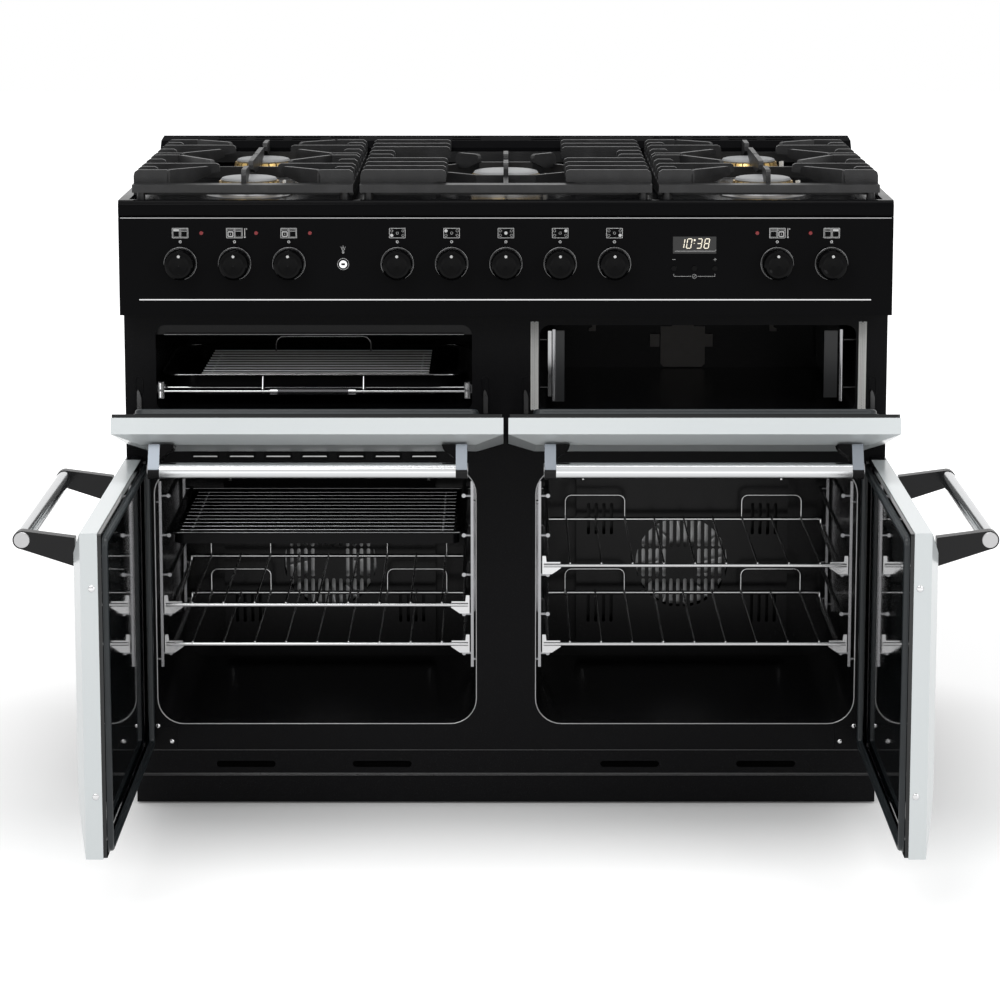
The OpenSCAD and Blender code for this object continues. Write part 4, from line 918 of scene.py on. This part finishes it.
rear_points += [(s * 534 * MM, rear_high.y, z * MM) for s in (-1, 1) for z in (94, 290, 480, 670, 857)]
screws("rear_screws", "cabinet", rear_points, 4 * MM, Euler((-math.pi / 2, 0, 0)))

# %% [markdown]
# ## Knob trims
# A knob has a thin bright ring round its skirt and a white dot near the top of its face. The ring is grown by
# a tree: a circle swept by a small round profile. The dot is a low disc with a slanted rim.


# %% Knob trims
def ring_tree(material):
    growth = Growth("rings")
    radius = growth.size("Radius")
    thickness = growth.size("Thickness")
    circle = growth.add("GeometryNodeCurvePrimitiveCircle", {}, {"Resolution": 64, "Radius": radius})
    profile = growth.add("GeometryNodeCurvePrimitiveCircle", {}, {"Resolution": 8, "Radius": thickness})
    swept = growth.add("GeometryNodeCurveToMesh", {}, {"Curve": circle, "Profile Curve": profile})
    cloud = growth.start.outputs["Geometry"]
    turned = {"Points": cloud, "Instance": swept, "Rotation": tuple(TOWARDS_FRONT)}
    placed = growth.add("GeometryNodeInstanceOnPoints", {}, turned)
    shaded = growth.add("GeometryNodeSetShadeSmooth", {}, {"Geometry": placed})
    return growth.finish(shaded, material)


RING_TREE = ring_tree(KNOB_TRIM)
for name in KNOBS:
    low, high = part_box(name)
    at = (low + high) / 2
    skirt = (high.x - low.x) / 2
    size = {"Radius": skirt - 0.6 * MM, "Thickness": 0.7 * MM}
    ring = grow(name + "_ring", RING_TREE, size, [(at.x, high.y - 3 * MM, at.z)])
    keep(ring, name + "_body")
    face = bmesh.new()
    spot = Matrix.Translation((at.x, low.y + 0.1 * MM, at.z + 13 * MM)) @ TOWARDS_FRONT.to_matrix().to_4x4()
    bmesh.ops.create_cone(
        face, cap_ends=True, segments=20, radius1=2.2 * MM, radius2=1.9 * MM, depth=0.7 * MM, matrix=spot
    )
    dot = mesh_object(name + "_dot", mesh_of(face, name + "_dot"), INK_WHITE)
    keep(dot, name + "_body")

# %% [markdown]
# ## End caps on the handles
# A satin disc with a slanted rim covers each end of a handle's bar. It stands on the bar's own axis.


# %% End caps on the handles
def cap_mesh(name, centre, outward, radius):
    """A disc with a chamfered rim, facing outward."""
    shape = bmesh.new()
    turn = outward.to_track_quat("Z", "Y").to_matrix().to_4x4()
    place = Matrix.Translation(centre + outward * 0.4 * MM) @ turn
    bmesh.ops.create_cone(
        shape, cap_ends=True, segments=48, matrix=place,
        radius1=radius, radius2=radius - 0.8 * MM, depth=1.2 * MM,
    )
    return mesh_of(shape, name)


CAP_RADIUS = END_RADIUS - 1.2 * MM
for side, sign in (("left", -1), ("right", 1)):
    low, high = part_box(side + "_door_handle")
    bar_x = sign * (max(abs(low.x), abs(high.x)) - END_RADIUS)
    bar_z = 0.5
    for tag, y, out in (("front", low.y, -1), ("rear", high.y, 1)):
        centre = Vector((bar_x, y, bar_z))
        disc = cap_mesh(f"{side}_handle_cap_{tag}", centre, Vector((0, out, 0)), CAP_RADIUS)
        keep(mesh_object(disc.name, disc, SATIN_STEEL), side + "_door")
for door in ("grill", "slow"):
    low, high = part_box(door + "_door_handle")
    bar = Vector((0, low.y + END_RADIUS, low.z + END_RADIUS))
    for tag, x, out in (("left", low.x, -1), ("right", high.x, 1)):
        centre = Vector((x, bar.y, bar.z))
        disc = cap_mesh(f"{door}_handle_cap_{tag}", centre, Vector((out, 0, 0)), CAP_RADIUS)
        keep(mesh_object(disc.name, disc, SATIN_STEEL), door + "_door")

# %% [markdown]
# ## Beads
# The mouth of each main oven has a narrow bright bead where the enamelled cavity is folded over the front
# frame: a painted highlight on that fold, drawn in satin steel. It follows a rectangle with round corners, so
# a wire of points is swept by a small circle. The same tree draws every other wire in this lesson.


# %% Beads
def bead_tree(material):
    growth = Growth("bead")
    thickness = growth.size("Thickness")
    path = growth.add("GeometryNodeMeshToCurve", {}, {"Mesh": growth.start.outputs["Geometry"]})
    profile = growth.add("GeometryNodeCurvePrimitiveCircle", {}, {"Resolution": 8, "Radius": thickness})
    swept = growth.add("GeometryNodeCurveToMesh", {}, {"Curve": path, "Profile Curve": profile})
    shaded = growth.add("GeometryNodeSetShadeSmooth", {}, {"Geometry": swept})
    return growth.finish(shaded, material)


def rounded_loop(low, high, radius, steps=8):
    """The corners of a rectangle with round corners, in its own plane."""
    loop = []
    corners = ((high[0], high[1]), (low[0], high[1]), (low[0], low[1]), (high[0], low[1]))
    for turn, (across, up) in enumerate(corners):
        centre_across = across - radius if across == high[0] else across + radius
        centre_up = up - radius if up == high[1] else up + radius
        for step in range(steps + 1):
            angle = math.pi / 2 * (turn + step / steps)
            loop.append((centre_across + radius * math.cos(angle), centre_up + radius * math.sin(angle)))
    return loop


def rounded_wire(low, high, y, radius):
    """Points and edges of such a rectangle in an upright plane at y."""
    points = [(across, y, up) for across, up in rounded_loop(low, high, radius)]
    edges = [(i, (i + 1) % len(points)) for i in range(len(points))]
    return points, edges


OVEN_MOUTH = {"low": -232 * MM, "high": 232 * MM, "bottom": 122 * MM, "top": 501 * MM, "radius": 38 * MM}
BEAD_TREE = bead_tree(SATIN_STEEL)
for side, sign in (("left", -1), ("right", 1)):
    x = sign * OVEN_X
    low = (x + OVEN_MOUTH["low"], OVEN_MOUTH["bottom"])
    high = (x + OVEN_MOUTH["high"], OVEN_MOUTH["top"])
    points, edges = rounded_wire(low, high, frame_face - 0.3 * MM, OVEN_MOUTH["radius"])
    # the bead is a painted highlight on the enamelled fold
    bead = grow(side + "_oven_bead", BEAD_TREE, {"Thickness": 0.8 * MM}, points, edges)
    keep(bead, "cabinet")


# %% [markdown]
# ## Glass and seals on the doors
# The CAD draws a door's inner glass and its seal as one piece with square edges. The glass sheet is cut
# from it, and the seal becomes a rubber tube on a flat foot, swept round the same rectangle. Both stand for
# the CAD piece. The cut needs the plane of the glass: the main doors stand open at a right angle, the flaps
# at 76 degrees.


# %% Glass and seals on the doors
SEAL_WIDE = 13 * MM
SEAL_HIGH = 8 * MM
SEAL_CORNER = 16 * MM


def tube_profile():
    """A tube on a flat foot, as pairs of across and height."""
    foot = [(6.4, 0.0), (6.4, 1.3), (4.8, 1.9)]
    turns = [math.radians(a) for a in range(-15, 196, 15)]
    tube = [(4.2 * math.cos(a), 3.75 + 4.2 * math.sin(a)) for a in turns]
    back = [(-x, h) for x, h in reversed(foot)]
    return [(x * MM, h * MM) for x, h in foot + tube + back]


def sweep_round(name, loop, out, profile, material):
    """The profile carried round a closed loop of points, with its height along out."""
    shape = bmesh.new()
    rings = []
    for i, spot in enumerate(loop):
        along = (loop[(i + 1) % len(loop)] - loop[i - 1]).normalized()
        side = along.cross(out)
        rings.append([shape.verts.new(spot + side * across + out * height) for across, height in profile])
    for i, ring in enumerate(rings):
        after = rings[(i + 1) % len(rings)]
        for j in range(len(profile)):
            k = (j + 1) % len(profile)
            shape.faces.new((ring[j], ring[k], after[k], after[j]))
    bmesh.ops.recalc_face_normals(shape, faces=shape.faces)
    return mesh_object(name, mesh_of(shape, name), material, smooth=True)


def glass_and_seal(door, on_back, out):
    """Glass and seal for one door: on_back is a point of the glass's back, and out points away from it."""
    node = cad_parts[door + "_door_liner"]
    sheet = bmesh.new()
    sheet.from_mesh(node.data)
    raised = [v.co - on_back for v in sheet.verts if (v.co - on_back).dot(out) > 0.1 * MM]
    across = Vector((0, 1, 0)) if abs(out.x) > 0.5 else Vector((1, 0, 0))
    up = out.cross(across)
    inset = SEAL_WIDE / 2
    low = (min(v.dot(across) for v in raised) + inset, min(v.dot(up) for v in raised) + inset)
    high = (max(v.dot(across) for v in raised) - inset, max(v.dot(up) for v in raised) - inset)
    loop = [on_back + across * a + up * u for a, u in rounded_loop(low, high, SEAL_CORNER - inset)]
    seal = sweep_round(door + "_door_seal", loop, out, tube_profile(), SEAL_RUBBER)
    whole = sheet.verts[:] + sheet.edges[:] + sheet.faces[:]
    cut = on_back - out * 0.05 * MM
    bmesh.ops.bisect_plane(sheet, geom=whole, dist=1e-6, plane_co=cut, plane_no=out, clear_outer=True)
    bmesh.ops.holes_fill(sheet, edges=[e for e in sheet.edges if e.is_boundary], sides=0)
    glass = mesh_object(door + "_door_glass", mesh_of(sheet, door + "_door_glass"), DARK_GLASS)
    for piece in (glass, seal):
        keep(piece, door + "_door")
        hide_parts(door + "_door_liner")


FLAP_OPEN = math.radians(76)
FLAP_AXIS = Vector((0, -284 * MM, 548 * MM))
GLASS_BACK = 23.6 * MM
for door in ("left", "right"):
    low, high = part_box(door + "_door_liner")
    side = 1 if door == "left" else -1
    seal_tip = high.x if door == "left" else low.x
    glass_and_seal(door, Vector((seal_tip - side * SEAL_HIGH, 0, 0)), Vector((side, 0, 0)))
flap_out = Vector((0, math.cos(FLAP_OPEN), math.sin(FLAP_OPEN)))
for door in ("grill", "slow"):
    glass_and_seal(door, FLAP_AXIS + flap_out * GLASS_BACK, flap_out)

# %% [markdown]
# ## Feet of the flap handles
# Each arm of a flap's handle stands on a black foot that widens towards the middle of the door. The arm's
# root is found in the handle's own mesh, in the plane of the flap's face, so the foot fits it at any
# opening angle.


# %% Feet of the flap handles
FOOT = ((0, 0), (20, 0), (18, 6), (10, 13), (4, 17), (0, 24))
flap_up = Vector((0, -math.sin(FLAP_OPEN), math.cos(FLAP_OPEN)))


def handle_foot(name, door, start, side):
    """A tapered black foot beside the arm that ends at x = start."""
    corners = [v.co - FLAP_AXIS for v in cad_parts[door + "_door_handle"].data.vertices]
    face = min(-v.dot(flap_out) for v in corners)
    root = [v.dot(flap_up) for v in corners if -v.dot(flap_out) < face + 1 * MM]
    low, high = min(root) + 0.5 * MM, max(root) - 0.5 * MM
    shape = bmesh.new()
    rings = []
    for level in (low, high):
        ring = []
        for across, height in FOOT:
            spot = FLAP_AXIS - flap_out * (face + height * MM) + flap_up * level
            ring.append(shape.verts.new((start + side * across * MM, spot.y, spot.z)))
        rings.append(ring)
    shape.faces.new(rings[0])
    shape.faces.new(rings[1][::-1])
    for i, corner in enumerate(rings[0]):
        j = (i + 1) % len(FOOT)
        shape.faces.new((corner, rings[1][i], rings[1][j], rings[0][j]))
    bmesh.ops.recalc_face_normals(shape, faces=shape.faces)
    bmesh.ops.bevel(shape, geom=shape.edges[:], offset=0.6 * MM, segments=2, affect="EDGES")
    return keep(mesh_object(name, mesh_of(shape, name), KNOB_BLACK), door + "_door")


for door in ("grill", "slow"):
    low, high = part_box(door + "_door_handle")
    handle_foot(door + "_handle_foot_left", door, low.x + ARM_WIDTH - 0.3 * MM, 1)
    handle_foot(door + "_handle_foot_right", door, high.x - ARM_WIDTH + 0.3 * MM, -1)

# %% [markdown]
# ## Flap hinges
# Each flap swings on two arms that come out of slots in the frame. A pressed rim stands round each slot,
# and a steel link hangs from it beside the mouth of the oven.


# %% Flap hinges
RIM_PROFILE = [(-1.1, 0.0), (-0.6, 0.7), (0.6, 0.7), (1.1, 0.0)]
FRONT = Vector((0, -1, 0))
HINGE_X = (-526 * MM, -29 * MM, 29 * MM, 526 * MM)


def link_mesh(name, x):
    """A bent steel link with a narrow top, seen from the front as a strip."""
    half = 3.2 * MM
    bottom, bend, shoulder, top = 581 * MM, 604 * MM, 612 * MM, 616 * MM
    outline = [(x - half, bottom), (x + half, bottom), (x + half, bend), (x + 1 * MM, shoulder)]
    outline += [(x - 1.6 * MM, top), (x - half, shoulder)]
    shape = prism(outline, frame_face, 4 * MM)
    bmesh.ops.bevel(shape, geom=shape.edges[:], offset=0.7 * MM, segments=2, affect="EDGES")
    return mesh_of(shape, name)


def slot_rim(name, low, high, corner, *steps):
    """The rolled rim of a hole in the front frame, and the hole's outline."""
    outline = rounded_loop(low, high, corner, *steps)
    loop = [Vector((across, frame_face, up)) for across, up in outline]
    profile = [(across * MM, height * MM) for across, height in RIM_PROFILE]
    keep(sweep_round(name, loop, FRONT, profile, FRAME_PAINT), "cabinet")
    return outline


SLOT_HALF, SLOT_BOTTOM, SLOT_TOP = 5.2 * MM, 607 * MM, 634 * MM
for number, x in enumerate(HINGE_X, 1):
    slot_rim(f"flap_slot_{number}", (x - SLOT_HALF, SLOT_BOTTOM), (x + SLOT_HALF, SLOT_TOP), 5.1 * MM)
    link = mesh_object(f"flap_link_{number}", link_mesh(f"flap_link_{number}", x), LINK_STEEL)
    keep(link, "cabinet")

# %% [markdown]
# ## Vents over the left oven
# The rail over the left oven has seven vent slots. Each is shown by the rolled rim of its hole, a dark sheet
# behind it, which is painted shade for the inside of the hole, and the bright lower lip that catches the
# light.


# %% Vents over the left oven
VENT_COUNT = 7
VENT_PITCH = 52.5 * MM
VENT_SIZE = (39 * MM, 10 * MM)
VENT_Z = 518.5 * MM
VENT_CORNER = 3 * MM
LIP_BOTTOM, LIP_TOP = VENT_Z - 1 * MM, VENT_Z + 0.6 * MM
for i in range(VENT_COUNT):
    x = -OVEN_X + (i - VENT_COUNT // 2) * VENT_PITCH
    low = (x - VENT_SIZE[0] / 2, VENT_Z - VENT_SIZE[1] / 2)
    high = (x + VENT_SIZE[0] / 2, VENT_Z + VENT_SIZE[1] / 2)
    outline = slot_rim(f"vent_rim_{i + 1}", low, high, VENT_CORNER, 4)
    # a dark sheet of painted shade for the inside of the slot
    sheet = flat_piece(f"vent_painted_shade_{i + 1}", outline, frame_face, 0.2 * MM, GLOSS_ENAMEL)
    keep(sheet, "cabinet")
    outline = [(low[0] + 2 * MM, LIP_BOTTOM), (high[0] - 2 * MM, LIP_BOTTOM)]
    outline += [(high[0] - 3 * MM, LIP_TOP), (low[0] + 3 * MM, LIP_TOP)]
    lip = flat_piece(f"vent_lip_{i + 1}", outline, frame_face - 0.2 * MM, 0.5 * MM, SATIN_STEEL)
    keep(lip, "cabinet")

# %% [markdown]
# ## Inside the slow oven
# A hanging plate of oxidised steel covers the middle of the rear wall. It has two notches at the top and a
# tab on either side. Two light clips hold the rear wall near the roof.


# %% Inside the slow oven
def brown_steel():
    """Bare sheet that heat has browned in clouds."""
    finish = Finish("brown_steel", (0.02, 0.019, 0.018), 0.4, 0.5)
    stain = finish.noise(30, 5)
    finish.set("Base Color", finish.mix(stain, (0.05, 0.046, 0.043), (0.1, 0.094, 0.09)))
    return finish.set("Roughness", stain * 0.2 + 0.35).material


BROWN_STEEL = brown_steel()
slow_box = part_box("slow_oven_chamber")
slow_x = (slow_box[0].x + slow_box[1].x) / 2
slow_back = slow_box[1].y - 2 * MM
plate_face = slow_back - 4.05 * MM


def plate(name, outline, face, thick):
    """A flat sheet of brown steel on the rear wall."""
    keep(flat_piece(name, outline, face, thick, BROWN_STEEL), "cabinet")


half, neck = 34.5 * MM, 17 * MM
foot, shoulder, head = 584.5 * MM, 648 * MM, 700 * MM
bevel = 5 * MM
outline = [(-half, foot + bevel), (-half + bevel, foot), (half - bevel, foot), (half, foot + bevel)]
outline += [(half, shoulder), (neck, shoulder), (neck, head)]
outline += [(-neck, head), (-neck, shoulder), (-half, shoulder)]
plate("slow_oven_cover", [(slow_x + a, z) for a, z in outline], plate_face, 1.2 * MM)
tab_low, tab_high = 616 * MM, 636 * MM
for number, (x, wide) in enumerate(((-43.5, 14.5), (40.5, 12)), 1):
    x, wide = slow_x + x * MM, wide / 2 * MM
    tab = [(x - wide, tab_low), (x + wide, tab_low), (x + wide, tab_high), (x - wide, tab_high)]
    plate(f"slow_oven_tab_{number}", tab, plate_face, 1.2 * MM)
CLIP = [(0, 0), (11, 0), (11, 17), (0, 17), (0, 12), (5, 9), (5, 6), (0, 4)]
CLIP_FOOT = 640
for number, (x, side) in enumerate(((-146, 1), (146, -1)), 1):
    x = slow_x + x * MM
    clip = [(x + side * a * MM, (CLIP_FOOT + z) * MM) for a, z in CLIP]
    plate(f"slow_oven_clip_{number}", clip, slow_back, 2 * MM)

# %% [markdown]
# ## The grill's trivet and rollers
# The trivet in the grill pan is welded from drawn wire: close bars on two runners with feet, and an arch at
# the back. The cradle rolls on small chromed wheels in its side channels, which show as bright capsules
# beside the pan.


# %% The grill's trivet and rollers
def wire_network(name, paths, thickness, material):
    """Every path of points swept by one wire."""
    points, edges = [], []
    for path in paths:
        first = len(points)
        points += path
        edges += [(first + i, first + i + 1) for i in range(len(path) - 1)]
    return grow(name, bead_tree(material), {"Thickness": thickness}, points, edges)


def arch(x, half, y, foot, rise, radius, steps=6):
    """An upright loop with round shoulders."""
    path = [(x - half, y, foot)]
    for centre, start in ((x - half + radius, math.pi), (x + half - radius, math.pi / 2)):
        for step in range(steps + 1):
            angle = start - math.pi / 2 * step / steps
            height = foot + rise - radius + radius * math.sin(angle)
            path.append((centre + radius * math.cos(angle), y, height))
    return path + [(x + half, y, foot)]


def trivet_steel():
    """Drawn wire that use has dulled."""
    finish = Finish("trivet_steel", (0.78, 0.78, 0.79), 0.3, 0.55)
    return finish.set("Roughness", finish.noise(60, 3) * 0.1 + 0.25).material


TRIVET_STEEL = trivet_steel()
trivet_low, trivet_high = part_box("grill_trivet")
trivet_x = (trivet_low.x + trivet_high.x) / 2
trivet_half = (trivet_high.x - trivet_low.x) / 2
trivet_z = 628 * MM
trivet_y0 = trivet_low.y + 4.5 * MM
trivet_y1 = trivet_high.y - 4.5 * MM
BAR_GAPS = 10
bar_x = (trivet_x - trivet_half + 2 * MM, trivet_x + trivet_half - 2 * MM)
bar_paths = []
for i in range(BAR_GAPS + 1):
    y = trivet_y0 + (trivet_y1 - trivet_y0) * i / BAR_GAPS
    bar_paths.append([(x, y, trivet_z) for x in bar_x])
trivet_bars = wire_network("trivet_bars", bar_paths, 1.25 * MM, TRIVET_STEEL)
runner_z = trivet_z - 3.6 * MM
inset = 14 * MM
runner_x = [trivet_x + x for x in (-trivet_half + inset, trivet_half - inset)]
runner_paths = [[(x, y, runner_z) for y in (trivet_y0 - 2 * MM, trivet_y1 + 2 * MM)] for x in runner_x]
for x in runner_x:
    for y in (trivet_y0 + inset, trivet_y1 - inset):
        runner_paths.append([(x, y, trivet_low.z + 0.1 * MM), (x, y, trivet_z - 4 * MM)])
runner_paths.append(arch(trivet_x, 72 * MM, trivet_y1, trivet_z, 22 * MM, 12 * MM))
trivet_frame = wire_network("trivet_frame", runner_paths, 1.7 * MM, SHELF_CHROME)
for piece in (trivet_bars, trivet_frame):
    keep(piece, "grill_tray")
    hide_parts("grill_trivet")

ROLLER_X, ROLLER_Y, ROLLER_HIGH = 219.5 * MM, -248.6 * MM, 9 * MM
rollers = []
for side in (-1, 1):
    x = -OVEN_X + side * ROLLER_X
    for z in (604 * MM, 616 * MM):
        rollers.append([(x, ROLLER_Y, z), (x, ROLLER_Y, z + ROLLER_HIGH)])
keep(wire_network("grill_rollers", rollers, 3.2 * MM, ROLLER_CHROME), "grill_tray")


def flat_rim(name, box, z, inset, radius, thickness, material):
    """A wire that follows the upper rim of a tin or pan, as a painted highlight on its rolled edge."""
    low, high = box
    corners = rounded_loop((low.x + inset, low.y + inset), (high.x - inset, high.y - inset), radius)
    path = [(x, y, z) for x, y in corners]
    return wire_network(name, [path + path[:2]], thickness, material)


# the rims' chrome wires are painted highlights on the black rolled edges; the left rack plate's folded edge
# uses the same chrome
RIM_HIGHLIGHT_AND_RACK_CHROME = bright_steel("rim_highlight_and_rack_chrome", 0.35, 0.16)
pan_rim_z = pan_box[1].z - 0.4 * MM
pan_rim = flat_rim("grill_pan_rim", pan_box, pan_rim_z, 2 * MM, 34 * MM, 1.3 * MM, RIM_HIGHLIGHT_AND_RACK_CHROME)
keep(pan_rim, "grill_tray")
tin_rim_z = tin_box[1].z - 0.3 * MM
tin_rim = flat_rim("baking_tin_rim", tin_box, tin_rim_z, 1.2 * MM, 16 * MM, 1.2 * MM, RIM_HIGHLIGHT_AND_RACK_CHROME)
keep(tin_rim, "baking_tin_body")
roof_line = [[(x * MM, -241 * MM, 694 * MM) for x in (-490, -60)]]
keep(wire_network("grill_roof_line", roof_line, 0.5 * MM, SATIN_STEEL), "cabinet")

# %% [markdown]
# ## Rack plates of the slow oven
# The racks of the upper oven hang on pressed plates. The left one shows a bright folded edge, the right one
# is dark with a chrome rod before it.


# %% Rack plates of the slow oven
def plate_black():
    """Black paint with a dull shine."""
    finish = Finish("plate_black", (0.012, 0.0125, 0.013), 0.32)
    finish.set("Base Color", finish.mix(finish.noise(30, 4), (0.009, 0.009, 0.01), (0.016, 0.017, 0.018)))
    return finish.set("Specular IOR Level", 0.4).material


PLATE_BLACK = plate_black()
PLATES = (
    ("left_rack_edge", 60.5, 65.5, 604, 699, 238.4, RIM_HIGHLIGHT_AND_RACK_CHROME),
    ("left_rack_plate", 67, 84, 596, 699, 236, PLATE_BLACK),
    ("right_rack_plate", 457, 476, 602, 699, 236, PLATE_BLACK),
)
for name, x0, x1, z0, z1, depth, material in PLATES:
    outline = [(x0 * MM, z0 * MM), (x1 * MM, z0 * MM), (x1 * MM, z1 * MM), (x0 * MM, z1 * MM)]
    keep(flat_piece(name, outline, -depth * MM, 1 * MM, material), "cabinet")

# %% [markdown]
# ## The plinth
# Behind the plinth's slots stands a black sheet of painted shade, which hides the floor that would show
# through them. The plinth's sheet is folded, and each fold shows as a fine line of light along the front.

# %% The plinth
plinth_low, plinth_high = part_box("plinth")
x0, x1 = plinth_low.x + 4 * MM, plinth_high.x - 4 * MM
z0, z1 = plinth_low.z + 3 * MM, plinth_high.z - 2 * MM
dark = [(x0, z0), (x1, z0), (x1, z1), (x0, z1)]
# painted shade: a black sheet behind the slots
shade_sheet = flat_piece("plinth_painted_shade", dark, plinth_low.y + 4 * MM, 0.8 * MM, MARK_AND_PAINTED_SHADE_BLACK)
keep(shade_sheet, "cabinet")
FOLD_STEEL = bright_steel("fold_steel", 0.16, 0.3)
fold_y = plinth_low.y - 0.1 * MM
fold_paths = [[(side * 538 * MM, fold_y, z * MM) for side in (-1, 1)] for z in (81.4, 46, 43.5)]
keep(wire_network("plinth_folds", fold_paths, 0.5 * MM, FOLD_STEEL), "cabinet")

# %% [markdown]
# ## Braided seal strips
# Beside the slow oven's mouth stand two short strips of braided glass fibre. Each is made of six strands that
# swing from side to side and cross over and under each other.


# %% Braided seal strips
def fibre():
    """Spun glass fibre, matt and slightly grey."""
    finish = Finish("glass_fibre", (0.6, 0.6, 0.58), 0.8)
    strand = finish.noise(1200, 3)
    finish.bump(strand, 0.5, 0.0006)
    return finish.set("Base Color", finish.mix(strand, (0.35, 0.35, 0.34), (0.75, 0.75, 0.73))).material


def strand_path(side, x, y, bottom, top, wide, deep, pitch, phase):
    """One strand of the braid: it swings from side to side, and over and under the others."""
    count = int((top - bottom) / pitch * 12)
    points = []
    for i in range(count + 1):
        along = i / count
        swing = 2 * math.pi * (bottom + along * (top - bottom)) / pitch + phase
        points.append((
            x + side * wide / 2 * math.sin(swing),
            y - deep * (0.5 + 0.5 * math.cos(2 * swing + (0 if side > 0 else math.pi))),
            bottom + along * (top - bottom),
        ))
    return points


STRIP_X = (41 * MM, 510.4 * MM)
STRIP = {"bottom": 586 * MM, "top": 714 * MM, "wide": 10 * MM, "deep": 0.3 * MM, "pitch": 22 * MM}
PHASES = (0, 2.1, 4.2)
strands = [
    strand_path(side, x, frame_face - 0.7 * MM, phase=phase, **STRIP)
    for x in STRIP_X for side in (-1, 1) for phase in PHASES
]
keep(wire_network("slow_oven_seal_strips", strands, 1.0 * MM, fibre()), "cabinet")

# %% [markdown]
# ## Light and floor
# The studio is white all round, so the world is white for the camera and for reflections, and only a soft
# grey for the light that falls on the cooker. Three large panels give the highlights.


# %% Light and floor
def studio_world(light, shown):
    """White where the camera sees it, and softer as a light."""
    world = bpy.data.worlds.new("studio")
    bpy.context.scene.world = world
    world.use_nodes = True
    tree = world.node_tree
    backdrop = tree.nodes["Background"]
    backdrop.inputs["Color"].default_value = (1, 1, 1, 1)
    path = tree.nodes.new("ShaderNodeLightPath")
    seen = tree.nodes.new("ShaderNodeMath")
    seen.operation = "MAXIMUM"
    tree.links.new(path.outputs["Is Camera Ray"], seen.inputs[0])
    tree.links.new(path.outputs["Is Glossy Ray"], seen.inputs[1])
    also = tree.nodes.new("ShaderNodeMath")
    also.operation = "MAXIMUM"
    tree.links.new(seen.outputs[0], also.inputs[0])
    tree.links.new(path.outputs["Is Transmission Ray"], also.inputs[1])
    level = tree.nodes.new("ShaderNodeMapRange")
    level.inputs["To Min"].default_value = light
    level.inputs["To Max"].default_value = shown
    tree.links.new(also.outputs[0], level.inputs["Value"])
    tree.links.new(level.outputs[0], backdrop.inputs["Strength"])


def panel_light(name, at, target, size, power):
    lamp = bpy.data.lights.new(name, "AREA")
    lamp.shape = "RECTANGLE"
    lamp.size, lamp.size_y = size
    lamp.energy = power
    holder = bpy.data.objects.new(name, lamp)
    bpy.context.scene.collection.objects.link(holder)
    holder.location = at
    holder.rotation_euler = (Vector(target) - Vector(at)).to_track_quat("-Z", "Y").to_euler()


def floor():
    """Pale paper that the camera sees as white, with a painted shadow: its glow falls to black under the
    cooker and is lower near it.
    """
    mesh = bpy.data.meshes.new("floor")
    reach = 14.0
    corners = [(-reach, -reach, 0), (reach, -reach, 0), (reach, reach, 0), (-reach, reach, 0)]
    mesh.from_pydata(corners, [], [(0, 1, 2, 3)])
    finish = Finish("floor_paper", (0.7, 0.7, 0.7), 0.9)
    finish.set("Base Color", finish.mix(finish.noise(2), (0.69, 0.69, 0.69), (0.71, 0.71, 0.71)))
    finish.set("Specular IOR Level", 0.0)
    away = finish.add("ShaderNodeVectorMath", {"operation": "LENGTH"}, (finish.place,), 1)
    far = finish.ramp(away / 4, (0.3, 0), (0.6, 1))
    beyond = finish.add("ShaderNodeVectorMath", {"operation": "ABSOLUTE"}, (finish.place,))
    beyond = finish.add("ShaderNodeVectorMath", {"operation": "SUBTRACT"}, (beyond, (0.5, 0.22, 9)))
    beyond = finish.add("ShaderNodeVectorMath", {"operation": "MAXIMUM"}, (beyond, (0, 0, 0)))
    gap = finish.add("ShaderNodeVectorMath", {"operation": "LENGTH"}, (beyond,), 1)
    # painted shadow: the glow is lowered near the cooker and is black under it
    painted_shadow = finish.ramp(gap, (0, 0), (0.05, 1)) * finish.ramp(gap, (0.03, 0.3), (0.36, 1))
    glow_with_painted_shadow = finish.mix(far, finish.mix(painted_shadow, (0.0, 0.0, 0.0), (0.46, 0.46, 0.46)), (1.0, 1.0, 1.0))
    seen = finish.add("ShaderNodeLightPath", {}, {}, "Is Camera Ray")
    seen = seen.math("MAXIMUM", finish.add("ShaderNodeLightPath", {}, {}, "Is Glossy Ray"))
    seen = seen.math("MAXIMUM", finish.add("ShaderNodeLightPath", {}, {}, "Is Transmission Ray"))
    finish.set("Emission Color", finish.mix(seen, (0.0, 0.0, 0.0), glow_with_painted_shadow)).set("Emission Strength", 1.0)
    mesh_object("floor", mesh, finish.material)


studio_world(0.55, 1.0)
floor()
panel_light("key", (-1.6, -3.4, 3.4), (0, 0, 0.5), (2.6, 1.6), 60)
panel_light("fill", (2.6, -3.2, 2.2), (0, 0, 0.5), (1.6, 2.2), 34)
panel_light("top", (0, -0.4, 3.2), (0, -0.2, 0.9), (2.4, 1.4), 30)
bpy.context.scene.view_settings.view_transform = "Standard"
print("studio lit")
